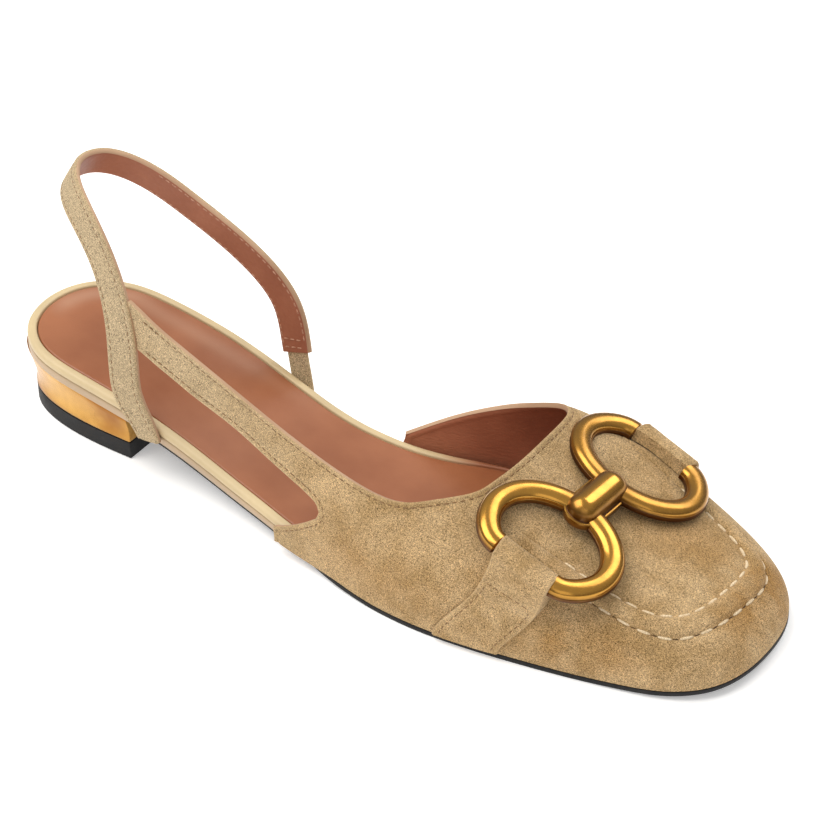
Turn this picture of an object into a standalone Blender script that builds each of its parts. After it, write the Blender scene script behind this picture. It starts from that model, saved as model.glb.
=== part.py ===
"""Slingback flat for the right foot: +X to the toe, +Y to the inner side, +Z up.

Sizes in the tables are millimetres from the back of the footbed, and become metres in the meshes.
"""
import math

import bmesh
import bpy
import numpy as np
from mathutils import Vector
from mathutils.bvhtree import BVHTree

MM = 0.001
GAP = 0.3
LENGTH = 250.0
TOE_TIP_Y = 1.5

# Upper
WALL = 1.8
UPPER_OVERHANG = 2.2
FOREFOOT_INSET = 2.5
WING_START_X = 108.0
WING_FULL_X = 135.0
SEAM_HEIGHT = 0.7

# Sole stack
OUTSOLE_THICK = 1.5
OUTSOLE_BACK_X = 50.0
OUTSOLE_INSET = 0.6
RIM_ROLL = 0.9
POCKET_DEPTH = 1.9
SOCK_THICK = 1.3

# Heel
HEEL_BREAST_X = 48.0
LIFT_HEIGHT = 5.7
HEEL_TOP = {"back": -0.6, "half_width": 23.8, "square": 2.9}
HEEL_LOW = {"back": 1.2, "half_width": 22.4, "square": 2.7}

# Sling strap and its tab
SLING_WIDTH = 10.6
SLING_THICK = 2.2
SLING_FOOT_SHARE = 0.72
SLING_FOOT_LENGTH = 15.0
TAB_WIDTH = 7.4
TAB_THICK = 1.6

# Ornament
RING_HALF_LENGTH = 19.2
RING_HALF_WIDTH = 15.3
RING_BAR_OFFSET = 12.2
RING_BAND = 6.6
RING_INSET = 0.5
RING_HEIGHT = 3.9
RING_NECK = 3.4
BAR_BAND = 3.4
BAR_HEIGHT = 3.0
LINK_SIZE = (10.0, 19.8, 6.6)
LINK_LIFT = 0.4
KEEPER_THICK = 1.1

# Outline of the sole, half widths from the axis to the outer and the inner side
OUTLINE = [
    # x, lateral, medial
    (4, 13.9, 13.9),
    (13, 21.5, 21.7),
    (30, 24.7, 24.7),
    (55, 24.9, 24.8),
    (85, 27.7, 21.8),
    (115, 33.7, 21.5),
    (140, 39.4, 31.0),
    (162, 41.2, 35.4),
    (182, 39.4, 38.5),
    (202, 35.9, 39.0),
    (220, 32.0, 36.5),
    (234, 27.8, 31.5),
    (244, 20.8, 23.0),
]

# Side view of the sole: underside and top of the footbed, and the width of its bare rim
SOLE_PROFILE = [
    # x, underside, top, rim
    (0, 21.6, 27.4, 3.6),
    (30, 18.4, 24.2, 3.6),
    (50, 15.2, 20.8, 3.6),
    (60, 13.1, 18.7, 3.6),
    (95, 6.1, 11.1, 3.6),
    (130, 2.7, 7.0, 3.0),
    (150, 1.8, 5.7, 1.2),
    (205, 1.8, 5.3, 1.2),
    (230, 2.6, 6.2, 1.2),
    (250, 4.6, 8.0, 1.2),
]

# Ribs of the upper from the sole edge to the topline: place along the edge from the toe tip (outer
# side negative), topline point, and the direction in which the rib leaves each end
RIBS = [
    # run, top_x, top_y, top_z, heading, fall, reach, rise, flare
    (-218, 53.0, -26.6, 60.0, -90, 86, 12, 18, 2),
    (-174, 97.2, -31.0, 46.4, -90, 88, 12, 14, 5),
    (-143, 126.3, -34.0, 39.0, -88, 80, 12, 12, 6),
    (-122, 147.0, -34.0, 35.3, -82, 72, 12, 14, 5),
    (-100, 159.3, -29.0, 36.6, -66, 52, 15, 19, 4),
    (-78, 167.5, -22.0, 38.0, -48, 39, 21, 20, 4),
    (-56, 170.9, -16.5, 39.7, -34, 36, 28, 19, 4),
    (-36, 172.8, -9.5, 41.1, -20, 36, 34, 18, 5),
    (-18, 173.8, -2.3, 42.1, -9, 37, 36, 19, 5),
    (0, 174.1, 5.2, 42.7, 0, 38, 36, 20, 5),
    (18, 173.9, 12.0, 42.6, 9, 38, 35, 19, 5),
    (36, 172.9, 18.3, 41.8, 20, 32, 31, 17, 5),
    (56, 170.9, 22.9, 41.0, 36, 25, 26, 15, 4),
    (80, 166.0, 25.1, 39.6, 58, 29, 19, 14, 4),
    (105, 156.0, 26.6, 34.8, 76, 48, 13, 13, 3),
    (128, 144.5, 28.0, 28.3, 86, 70, 9, 10, 3),
    (145, 129.5, 27.6, 19.0, 90, 80, 5, 6, 2),
    (160, 115.3, 23.6, 9.8, 90, 88, 2, 2, 1),
]

# Cut-out between the quarter strap and the sole, heights of its upper and lower edge
CUTOUT_FRONT_X = 127.5
CUTOUT_FRONT_Z = 23.0
CUTOUT_BACK_X = 110.0
STRAP_LOW_EDGE = [
    # x, height
    (50, 46.0),
    (58, 45.1),
    (67, 42.8),
    (78, 39.4),
    (94, 35.6),
    (106, 32.0),
    (116, 29.2),
    (123, 27.0),
    (126.4, 25.2),
    (127.5, 23.0),
]
TAIL_TOP_EDGE = [
    # x, height
    (110, 9.6),
    (116, 13.0),
    (120, 15.6),
    (124, 18.6),
    (126.6, 20.9),
    (127.5, 23.0),
]

# Raised apron seam: its edges as shares of the rib from sole to topline
SEAM = [
    # run, outer, inner, height share
    (-90, 0.25, 0.46, 0.0),
    (-56, 0.58, 0.78, 0.0),
    (-48, 0.48, 0.70, 1.0),
    (-41, 0.37, 0.59, 1.0),
    (-33, 0.25, 0.42, 1.0),
    (-25, 0.195, 0.30, 1.0),
    (-16, 0.185, 0.26, 1.0),
    (0, 0.175, 0.25, 1.0),
    (14, 0.16, 0.24, 1.0),
    (20, 0.18, 0.27, 1.0),
    (28, 0.25, 0.40, 1.0),
    (38, 0.38, 0.55, 1.0),
    (46, 0.48, 0.68, 1.0),
    (54, 0.58, 0.78, 0.0),
    (90, 0.25, 0.46, 0.0),
]

# Sling strap: middle of the band, plan direction that its outer face looks to, and inward lean
SLING = [
    # x, y, z, heading, lean
    (59.2, -26.4, 13.4, -90, 0),
    (56.6, -26.9, 20.0, -90, 0),
    (52.7, -27.2, 27.5, -90, 1),
    (51.5, -27.2, 36.0, -90, 3),
    (50.9, -26.8, 47.0, -92, 5),
    (48.2, -25.2, 57.0, -97, 9),
    (41.0, -21.6, 68.0, -108, 15),
    (29.5, -16.0, 76.2, -125, 22),
    (19.4, -8.0, 78.4, -150, 26),
    (14.8, 1.0, 78.0, -182, 28),
    (16.2, 9.5, 76.4, -213, 26),
    (24.6, 17.0, 71.8, -238, 21),
    (40.2, 22.0, 62.2, -254, 16),
    (58.4, 25.2, 50.2, -262, 11),
    (70.4, 26.8, 36.6, -268, 6),
    (74.4, 26.3, 21.0, -270, 2),
    (76.9, 24.6, 14.5, -270, 0),
    (78.3, 23.8, 9.4, -270, 0),
]
SLING_END_ROW = 15

# Ornament: middle of each ring's bar, middle of the link, and the fall of the bars to the toe
LINK_CENTRE = (195.4, -0.9, 35.5)
LATERAL_BAR = (192.8, -34.3, 32.6)
MEDIAL_BAR = (196.2, 32.6, 30.8)
LATERAL_BAR_FALL = 17.0
MEDIAL_BAR_FALL = 21.3

# Keepers: foot on the sole edge as places along it, and thickness along the strap from the foot
LATERAL_KEEPER_FEET = (-102.0, -82.0)
MEDIAL_KEEPER_FEET = (93.0, 72.5)
KEEPER_HALF_WIDTH = 9.3
KEEPER_FOOT_SHARE = 0.015
KEEPER_END = 4.2
KEEPER_SWING = 1.8
KEEPER_SPAN_START = 0.3
KEEPER_LAYERS = [
    # share of length, layers
    (0.0, 1.0),
    (0.44, 1.0),
    (0.48, 1.8),
    (0.60, 1.9),
]

MATERIALS = {
    # name: colour, roughness, metallic
    "suede": ((0.46, 0.33, 0.19), 0.95, 0.0),
    "rim_leather": ((0.78, 0.58, 0.33), 0.5, 0.0),
    "sock_leather": ((0.36, 0.14, 0.07), 0.5, 0.0),
    "black_rubber": ((0.02, 0.02, 0.02), 0.7, 0.0),
    "heel_gold": ((0.72, 0.38, 0.08), 0.25, 1.0),
    "ring_gold": ((0.62, 0.38, 0.10), 0.35, 1.0),
}


def column(table, index):
    """One column of a table as an array."""
    return np.array([row[index] for row in table], float)


def monotone(xs, ys):
    """Curve through the rows that never overshoots them (Fritsch and Carlson slopes)."""
    xs = np.asarray(xs, float)
    ys = np.asarray(ys, float)
    step = np.diff(xs)
    slope = np.diff(ys) / step
    tangent = np.zeros(len(xs))
    for k in range(1, len(xs) - 1):
        if slope[k - 1] * slope[k] > 0:
            a = 2 * step[k] + step[k - 1]
            b = step[k] + 2 * step[k - 1]
            tangent[k] = (a + b) / (a / slope[k - 1] + b / slope[k])
    tangent[0] = slope[0]
    tangent[-1] = slope[-1]

    def at(x):
        x = np.clip(np.asarray(x, float), xs[0], xs[-1])
        k = np.clip(np.searchsorted(xs, x) - 1, 0, len(step) - 1)
        t = (x - xs[k]) / step[k]
        h00 = (1 + 2 * t) * (1 - t) ** 2
        h10 = t * (1 - t) ** 2
        h01 = t * t * (3 - 2 * t)
        h11 = t * t * (t - 1)
        return (h00 * ys[k] + h10 * step[k] * tangent[k]
                + h01 * ys[k + 1] + h11 * step[k] * tangent[k + 1])

    return at


def spline(knots, values):
    """Natural cubic spline through vectors or numbers at the knots."""
    k = np.asarray(knots, float)
    v = np.asarray(values, float)
    flat = v.ndim == 1
    if flat:
        v = v[:, None]
    n = len(k)
    h = np.diff(k)
    matrix = np.zeros((n, n))
    right = np.zeros((n, v.shape[1]))
    matrix[0, 0] = 1.0
    matrix[-1, -1] = 1.0
    for i in range(1, n - 1):
        matrix[i, i - 1] = h[i - 1]
        matrix[i, i] = 2 * (h[i - 1] + h[i])
        matrix[i, i + 1] = h[i]
        right[i] = 6 * ((v[i + 1] - v[i]) / h[i] - (v[i] - v[i - 1]) / h[i - 1])
    bend = np.linalg.solve(matrix, right)

    def at(t):
        t = np.asarray(t, float)
        i = np.clip(np.searchsorted(k, t) - 1, 0, n - 2)
        a = (k[i + 1] - t)[..., None]
        b = (t - k[i])[..., None]
        w = h[i][..., None]
        out = (bend[i] * a ** 3 + bend[i + 1] * b ** 3) / (6 * w)
        out = out + (v[i] / w - bend[i] * w / 6) * a + (v[i + 1] / w - bend[i + 1] * w / 6) * b
        return out[..., 0] if flat else out

    return at


class SoleEdge:
    """Closed plan outline of the sole, read by distance from the toe tip (outer side negative)."""

    def __init__(self):
        outer = [(x, -lateral) for x, lateral, _ in OUTLINE]
        inner = [(x, medial) for x, _, medial in OUTLINE]
        ring = [(0.0, 0.0)] + outer + [(LENGTH, TOE_TIP_Y)] + inner[::-1]
        lap = 4
        chain = np.array(ring[-lap:] + ring + ring[:lap + 1])
        chord = np.concatenate([[0], np.cumsum(np.hypot(*np.diff(chain, axis=0).T))])
        curve = spline(chord, chain)
        start = chord[lap]
        end = chord[lap + len(ring)]
        fine = curve(np.linspace(start, end, 2401))
        self.length = np.concatenate([[0], np.cumsum(np.hypot(*np.diff(fine, axis=0).T))])
        self.points = fine
        toe = np.argmax(fine[:, 0])
        self.toe = self.length[toe]
        self.lateral_run = -self.toe
        self.medial_run = self.length[-1] - self.toe

    def at(self, run, inset=0.0):
        """Plan points at a run, moved inward by the inset."""
        s = np.asarray(run, float) + self.toe
        step = 0.5
        total = self.length[-1]

        def plain(place):
            place = np.mod(place, total)
            return np.stack([np.interp(place, self.length, self.points[:, 0]),
                             np.interp(place, self.length, self.points[:, 1])], axis=-1)

        ahead = plain(s + step) - plain(s - step)
        ahead /= np.linalg.norm(ahead, axis=-1, keepdims=True)
        inward = np.stack([-ahead[..., 1], ahead[..., 0]], axis=-1)
        return plain(s) + inward * np.asarray(inset, float)[..., None]

    def outward(self, run):
        """Unit plan direction out of the sole at a run."""
        return self.at(run, -1.0) - self.at(run, 0.0)


EDGE = SoleEdge()
UNDERSIDE = monotone(column(SOLE_PROFILE, 0), column(SOLE_PROFILE, 1))
RIM_TOP = monotone(column(SOLE_PROFILE, 0), column(SOLE_PROFILE, 2))
RIM_WIDTH = monotone(column(SOLE_PROFILE, 0), column(SOLE_PROFILE, 3))


def wing(x):
    """Zero where the footbed's rim is bare, one where the upper stands around it."""
    t = np.clip((np.asarray(x, float) - WING_START_X) / (WING_FULL_X - WING_START_X), 0, 1)
    return t * t * (3 - 2 * t)


def mesh_object(name, verts, faces, material, collection, smooth=True):
    """Object from millimetre points, with doubled points merged and faces turned out."""
    mesh = bpy.data.meshes.new(name)
    mesh.from_pydata([tuple(float(c) * MM for c in p) for p in verts], [], faces)
    work = bmesh.new()
    work.from_mesh(mesh)
    bmesh.ops.remove_doubles(work, verts=work.verts, dist=1e-6)
    bmesh.ops.dissolve_degenerate(work, edges=work.edges, dist=1e-7)
    bmesh.ops.recalc_face_normals(work, faces=work.faces)
    work.to_mesh(mesh)
    work.free()
    if smooth:
        mesh.shade_smooth()
        mesh.set_sharp_from_angle(angle=math.radians(40))
    mesh.materials.append(material)
    item = bpy.data.objects.new(name, mesh)
    collection.objects.link(item)
    return item


def loft(loops, cap_first=False, cap_last=False):
    """Points and faces of a skin over closed loops of equal count."""
    count = len(loops[0])
    verts = [p for loop in loops for p in loop]
    faces = []
    for i in range(len(loops) - 1):
        for j in range(count):
            k = (j + 1) % count
            faces.append((i * count + j, i * count + k, (i + 1) * count + k, (i + 1) * count + j))
    if cap_first:
        faces.append(tuple(range(count)))
    if cap_last:
        faces.append(tuple(range((len(loops) - 1) * count, len(loops) * count)))
    return verts, faces


def ease(count, tight_start=True, tight_end=True):
    """Shares from 0 to 1, closer together at the tight ends."""
    u = np.linspace(0, 1, count)
    if tight_start and tight_end:
        return 0.5 - 0.5 * np.cos(math.pi * u)
    if tight_end:
        return np.sin(0.5 * math.pi * u)
    return 1 - np.cos(0.5 * math.pi * u)


def sole_slab(section, shares):
    """Loops of a slab across the sole: section(x_of, side) gives its (inset, height) rows."""
    loops = []
    for share in shares:
        sides = []
        for run in (EDGE.lateral_run * (1 - share), EDGE.medial_run * (1 - share)):
            x = float(EDGE.at(run)[0])
            rows = []
            for inset, height in section(x):
                place = EDGE.at(run, inset)
                rows.append((place[0], place[1], height(place[0])))
            sides.append(rows)
        loops.append(sides[0] + sides[1][::-1])
    return loops


def build_footbed(material, collection):
    """Platform with a rolled rim around a shallow pocket for the sock."""
    def section(x):
        side = FOREFOOT_INSET * float(wing(x))
        rim = side + float(RIM_WIDTH(x))
        return [
            (side + 1.2, lambda p: UNDERSIDE(p)),
            (side, lambda p: UNDERSIDE(p) + 1.0),
            (side, lambda p: RIM_TOP(p) - RIM_ROLL),
            (side + RIM_ROLL * 0.4, lambda p: RIM_TOP(p) - 0.25),
            (side + min(RIM_ROLL * 1.2, rim - side - 0.5), lambda p: RIM_TOP(p)),
            (rim - 0.4, lambda p: RIM_TOP(p)),
            (rim, lambda p: RIM_TOP(p) - 0.4),
            (rim, lambda p: RIM_TOP(p) - POCKET_DEPTH),
        ]
    verts, faces = loft(sole_slab(section, ease(45)))
    return mesh_object("footbed", verts, faces, material, collection)


def build_sock(material, collection):
    """Thin leather sock in the footbed's pocket."""
    def section(x):
        rim = FOREFOOT_INSET * float(wing(x)) + float(RIM_WIDTH(x)) + GAP
        low = POCKET_DEPTH - GAP
        return [
            (rim, lambda p: RIM_TOP(p) - low),
            (rim, lambda p: RIM_TOP(p) - low + SOCK_THICK - 0.3),
            (rim + 0.5, lambda p: RIM_TOP(p) - low + SOCK_THICK),
        ]
    verts, faces = loft(sole_slab(section, ease(41)))
    return mesh_object("insole_sock", verts, faces, material, collection)


def build_outsole(material, collection):
    """Thin rubber sole from the heel breast to the toe, flat under the ball."""
    back = np.interp(OUTSOLE_BACK_X, EDGE.points[: 1200, 0], EDGE.length[: 1200])
    first = back / EDGE.toe
    shares = first + (1 - first) * ease(33, tight_start=False)

    def section(x):
        inset = OUTSOLE_INSET + 1.2 * (1 - float(wing(x)))
        top = lambda p: UNDERSIDE(p) - GAP
        return [
            (inset + 0.5, lambda p: top(p) - OUTSOLE_THICK),
            (inset, lambda p: top(p) - OUTSOLE_THICK + 0.4),
            (inset, top),
        ]
    verts, faces = loft(sole_slab(section, shares), cap_first=True)
    return mesh_object("outsole", verts, faces, material, collection)


def heel_half(size, share):
    """Plan point on the outer half of a heel outline, from its back (0) to its breast (1)."""
    angle = 0.5 * math.pi * share
    power = 2.0 / size["square"]
    depth = HEEL_BREAST_X - size["back"]
    return (HEEL_BREAST_X - depth * max(math.cos(angle), 0.0) ** power,
            size["half_width"] * math.sin(angle) ** power)


def heel_slab(levels, count=19):
    """Loops from the back of the heel to its breast; levels are (share down, height) rows."""
    loops = []
    for k in range(count):
        share = k / (count - 1)
        top = heel_half(HEEL_TOP, share)
        low = heel_half(HEEL_LOW, share)
        outer = []
        for down, height in levels:
            x = top[0] + (low[0] - top[0]) * down
            y = top[1] + (low[1] - top[1]) * down
            outer.append((x, y, height(x)))
        loops.append([(x, -y, z) for x, y, z in outer] + outer[::-1])
    return loops


def build_heel(gold, rubber, collection):
    """Heel block that rakes in to a black tread."""
    levels = [
        (0.0, lambda x: float(UNDERSIDE(x)) - GAP),
        (0.25, lambda x: LIFT_HEIGHT + GAP + 0.62 * (float(UNDERSIDE(x)) - GAP - LIFT_HEIGHT - GAP)),
        (0.9, lambda x: LIFT_HEIGHT + GAP + 0.10 * (float(UNDERSIDE(x)) - GAP - LIFT_HEIGHT - GAP)),
        (0.95, lambda x: LIFT_HEIGHT + GAP),
    ]
    verts, faces = loft(heel_slab(levels), cap_last=True)
    block = mesh_object("heel_block", verts, faces, gold, collection)
    tread = [
        (0.95, lambda x: LIFT_HEIGHT),
        (1.0, lambda x: 0.6),
        (1.03, lambda x: 0.0),
    ]
    verts, faces = loft(heel_slab(tread), cap_last=True)
    return block, mesh_object("heel_lift", verts, faces, rubber, collection)


class Upper:
    """Surface of the upper as ribs from the sole edge up to the topline."""

    def __init__(self):
        run = column(RIBS, 0)
        self.top = spline(run, np.array([row[1:4] for row in RIBS], float))
        self.heading = monotone(run, column(RIBS, 4))
        self.fall = monotone(run, column(RIBS, 5))
        self.reach = monotone(run, column(RIBS, 6))
        self.rise = monotone(run, column(RIBS, 7))
        self.flare = monotone(run, column(RIBS, 8))

    def foot(self, run):
        """Lower end of the rib, on the sole edge or around the bare rim."""
        x = float(EDGE.at(run)[0])
        place = EDGE.at(run, -UPPER_OVERHANG * (1 - float(wing(x))))
        return np.array([place[0], place[1], float(UNDERSIDE(x))])

    def rib(self, run, share):
        """Points of one rib at shares from the sole (0) to the topline (1)."""
        share = np.asarray(share, float)[..., None]
        foot = self.foot(run)
        top = self.top(np.array(float(run)))
        out = np.append(EDGE.outward(run), 0.0)
        flare = math.radians(float(self.flare(run)))
        up = np.array([0.0, 0.0, 1.0])
        first = foot + float(self.rise(run)) * (math.cos(flare) * up + math.sin(flare) * out)
        heading = math.radians(float(self.heading(run)))
        fall = math.radians(float(self.fall(run)))
        away = np.array([math.cos(heading) * math.cos(fall), math.sin(heading) * math.cos(fall),
                         -math.sin(fall)])
        last = top + float(self.reach(run)) * away
        rest = 1 - share
        return (rest ** 3 * foot + 3 * rest ** 2 * share * first
                + 3 * rest * share ** 2 * last + share ** 3 * top)

    def even(self, run, count):
        """Shares that space a rib's points evenly."""
        fine = np.linspace(0, 1, 65)
        points = self.rib(run, fine)
        length = np.concatenate([[0], np.cumsum(np.linalg.norm(np.diff(points, axis=0), axis=1))])
        return np.interp(np.linspace(0, length[-1], count), length, fine)

    def skin(self, run, share):
        """Point and outward normal at a run and a share of the rib's length."""
        def plain(place, part):
            even = self.even(place, 101)
            return self.rib(place, np.interp(part, np.linspace(0, 1, 101), even))
        step = 0.01
        along = plain(run + 0.5, share) - plain(run - 0.5, share)
        across = plain(run, min(share + step, 1.0)) - plain(run, max(share - step, 0.0))
        normal = np.cross(along, across)
        return plain(run, share), normal / np.linalg.norm(normal)

    def nearest(self, point, runs):
        """Run and share of the rib's length that come closest to a point."""
        best = (1e9, 0.0, 0.0)
        for run in runs:
            points = self.rib(run, self.even(run, 101))
            far = np.linalg.norm(points - point, axis=1)
            k = int(np.argmin(far))
            best = min(best, (float(far[k]), float(run), k / 100))
        return best[1], best[2]

    def at_height(self, run, height):
        """Share of the rib that reaches a height, or the topline."""
        fine = np.linspace(0, 1, 129)
        return float(np.interp(height, np.maximum.accumulate(self.rib(run, fine)[:, 2]), fine))


UPPER = Upper()


def raise_seam(grid, rows, heights):
    """Push the inner rows of the seam out of the surface by its height."""
    points = np.array(grid)
    along = np.gradient(points, axis=0)
    across = np.gradient(points, axis=1)
    normal = np.cross(along, across)
    normal /= np.linalg.norm(normal, axis=2, keepdims=True)
    for row in rows:
        points[:, row] += normal[:, row] * np.array(heights)[:, None] * SEAM_HEIGHT
    return [list(line) for line in points]


def upper_surface():
    """Open outer surface of vamp, wings and quarter strap: points, faces."""
    low_edge = monotone(column(STRAP_LOW_EDGE, 0), column(STRAP_LOW_EDGE, 1))
    tail_edge = monotone(column(TAIL_TOP_EDGE, 0), column(TAIL_TOP_EDGE, 1))
    seam_run = column(SEAM, 0)
    seam_outer = monotone(seam_run, column(SEAM, 1))
    seam_inner = monotone(seam_run, column(SEAM, 2))
    seam_height = monotone(seam_run, column(SEAM, 3))
    lateral_x = EDGE.points[: 1200, 0]
    lateral_run = EDGE.length[: 1200] - EDGE.toe

    def run_at(x):
        return float(np.interp(x, lateral_x, lateral_run))

    tail_rows = 4
    strap_rows = 9
    front_run = run_at(CUTOUT_FRONT_X)
    verts = []
    faces = []

    def add_grid(columns):
        base = len(verts)
        rows = len(columns[0])
        for line in columns:
            verts.extend(line)
        for i in range(len(columns) - 1):
            for j in range(rows - 1):
                a = base + i * rows + j
                faces.append((a, a + rows, a + rows + 1, a + 1))

    # Quarter strap behind the front of the cut-out
    strap = []
    first_run = RIBS[0][0]
    for share in ease(22, tight_start=False):
        run = first_run + (front_run - first_run) * share
        x = float(EDGE.at(run)[0])
        low = UPPER.at_height(run, float(low_edge(x)))
        strap.append(list(UPPER.rib(run, np.linspace(low, 1, strap_rows + 1))))
    add_grid(strap)

    # Wing under the cut-out
    tail = []
    for share in ease(9, tight_start=False):
        x = CUTOUT_BACK_X + (CUTOUT_FRONT_X - CUTOUT_BACK_X) * share
        run = run_at(x)
        high = UPPER.at_height(run, float(tail_edge(x)))
        tail.append(list(UPPER.rib(run, np.linspace(0, high, tail_rows + 1))))
    add_grid(tail)

    # Vamp from the front of the cut-out around the toe to the inner side
    last_run = RIBS[-1][0]
    split = UPPER.at_height(front_run, CUTOUT_FRONT_Z)
    rows = tail_rows + strap_rows
    outer_row = 3
    inner_row = 6
    vamp = []
    heights = []
    stations = 66
    for k in range(stations + 1):
        run = front_run + (last_run - front_run) * k / stations
        blend = min(1.0, (run - front_run) / 40.0)
        blend = blend * blend * (3 - 2 * blend)
        plain = np.concatenate([np.linspace(0, split, tail_rows + 1),
                                np.linspace(split, 1, strap_rows + 1)[1:]])
        outer = float(seam_outer(run))
        inner = float(seam_inner(run))
        even = np.concatenate([np.linspace(0, outer, outer_row + 1),
                               outer + (inner - outer) * np.array([0.15, 0.85, 1.0]),
                               np.linspace(inner, 1, rows - inner_row + 1)[1:]])
        share_of_length = UPPER.even(run, 101)
        even = np.interp(even, np.linspace(0, 1, 101), share_of_length)
        shares = (1 - blend) * plain + blend * even
        line = UPPER.rib(run, shares)
        vamp.append(list(line))
        heights.append(float(seam_height(run)) * blend)
    add_grid(raise_seam(vamp, range(outer_row + 1, inner_row), heights))
    return verts, faces


def build_upper(material, collection, cutters):
    """Hollow upper: the lofted shell joined with the sling strap."""
    verts, faces = upper_surface()
    shell = mesh_object("upper", verts, faces, material, collection)
    wall = shell.modifiers.new("wall", "SOLIDIFY")
    wall.thickness = WALL * MM
    wall.offset = -1.0
    wall.use_even_offset = True
    sling = build_ribbon("sling_band", 0.0, SLING_END, SLING_WIDTH, SLING_THICK, 70, material, cutters)
    sling.hide_render = True
    sling.display_type = "WIRE"
    join = shell.modifiers.new("sling", "BOOLEAN")
    join.operation = "UNION"
    join.object = sling
    return shell


SLING_CHORD = np.concatenate(
    [[0], np.cumsum(np.linalg.norm(np.diff(np.array([row[:3] for row in SLING], float), axis=0), axis=1))])
SLING_PATH = spline(SLING_CHORD, np.array([row[:3] for row in SLING], float))
SLING_HEADING = spline(SLING_CHORD, column(SLING, 3))
SLING_LEAN = spline(SLING_CHORD, column(SLING, 4))
SLING_END = float(SLING_CHORD[SLING_END_ROW])


def band_frame(place):
    """Middle of the band, its outward normal and its width direction at a place along it."""
    step = 0.5
    ahead = SLING_PATH(np.array(place + step)) - SLING_PATH(np.array(place - step))
    ahead /= np.linalg.norm(ahead)
    heading = math.radians(float(SLING_HEADING(np.array(place))))
    lean = math.radians(float(SLING_LEAN(np.array(place))))
    out = np.array([math.cos(heading) * math.cos(lean), math.sin(heading) * math.cos(lean), math.sin(lean)])
    out -= ahead * np.dot(out, ahead)
    out /= np.linalg.norm(out)
    return SLING_PATH(np.array(place)), out, np.cross(ahead, out)


def build_ribbon(name, start, end, width, thick, count, material, collection):
    """Flat band with eased edges along the sling's path."""
    eased = 0.5
    loops = []
    for k in range(count + 1):
        place = start + (end - start) * k / count
        middle, out, side = band_frame(place)
        share = min(1.0, place / SLING_FOOT_LENGTH)
        half = 0.5 * width * (SLING_FOOT_SHARE + (1 - SLING_FOOT_SHARE) * share)
        deep = 0.5 * thick
        corners = [(half - eased, deep), (half, deep - eased)]
        corners += [(a, -b) for a, b in corners[::-1]]
        corners += [(-a, b) for a, b in corners[::-1]]
        loops.append([middle + side * a + out * b for a, b in corners])
    verts, faces = loft(loops, cap_first=True, cap_last=True)
    return mesh_object(name, verts, faces, material, collection)


def surface_tree():
    """Search tree on the upper's outer surface, in millimetres."""
    verts, faces = upper_surface()
    return BVHTree.FromPolygons([Vector(tuple(map(float, p))) for p in verts], faces)


class Ornament:
    """Places of the rings and the link, worked from their bars and the link's middle."""

    def __init__(self, bar, bar_fall):
        self.bar = np.array(bar, float)
        link = np.array(LINK_CENTRE, float)
        self.inward = link - self.bar
        self.inward /= np.linalg.norm(self.inward)
        fall = math.radians(bar_fall)
        along = np.array([math.cos(fall), 0.0, -math.sin(fall)])
        along -= self.inward * np.dot(along, self.inward)
        self.along = along / np.linalg.norm(along)
        normal = np.cross(self.along, self.inward)
        self.normal = normal if normal[2] > 0 else -normal

    def path(self, count=48):
        """Middle line of the ring: an oval whose outer side is cut straight by the bar."""
        chord = math.acos(-RING_BAR_OFFSET / RING_HALF_WIDTH)
        points = []
        for k in range(count):
            angle = -chord + 2 * chord * k / (count - 1)
            along = RING_HALF_LENGTH * math.sin(angle)
            inward = RING_BAR_OFFSET + RING_HALF_WIDTH * math.cos(angle)
            points.append((along, inward))
        return points

    def solid(self, grow=0.0, rise=0.0):
        """Loops of the swept half round band, thicker by the grow value."""
        flat = np.array(self.path())
        count = len(flat)
        loops = []
        for k in range(count):
            ahead = flat[(k + 1) % count] - flat[k - 1]
            ahead /= np.linalg.norm(ahead)
            side = np.array([ahead[1], -ahead[0]])
            share = float(np.clip((flat[k][1] - 1.0) / RING_NECK, 0, 1))
            half = 0.5 * (BAR_BAND + (RING_BAND - BAR_BAND) * share) + grow
            top = BAR_HEIGHT + (RING_HEIGHT - BAR_HEIGHT) * share + grow
            profile = [(half, -grow)]
            for j in range(7):
                angle = math.pi * j / 6
                profile.append((half * math.cos(angle), 0.38 * top + 0.62 * top * math.sin(angle)))
            profile.append((-half, -grow))
            loop = []
            for out, high in profile:
                place = flat[k] + side * (out + RING_INSET * share)
                loop.append(self.bar + self.along * place[0] + self.inward * place[1]
                            + self.normal * (high - RING_HEIGHT / 2 + rise))
            loops.append(loop)
        loops.append(loops[0])
        return loft(loops)


def seat_rise(ornament, tree):
    """How far a ring is lifted so that it clears the vamp by the usual gap."""
    worst = 99.0
    verts, _ = ornament.solid()
    for point in verts:
        spot, normal, _, _ = tree.find_nearest(Vector(tuple(map(float, point))))
        if spot is None:
            continue
        worst = min(worst, (Vector(tuple(map(float, point))) - spot).dot(normal))
    return max(0.0, GAP + 0.1 - worst)


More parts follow.
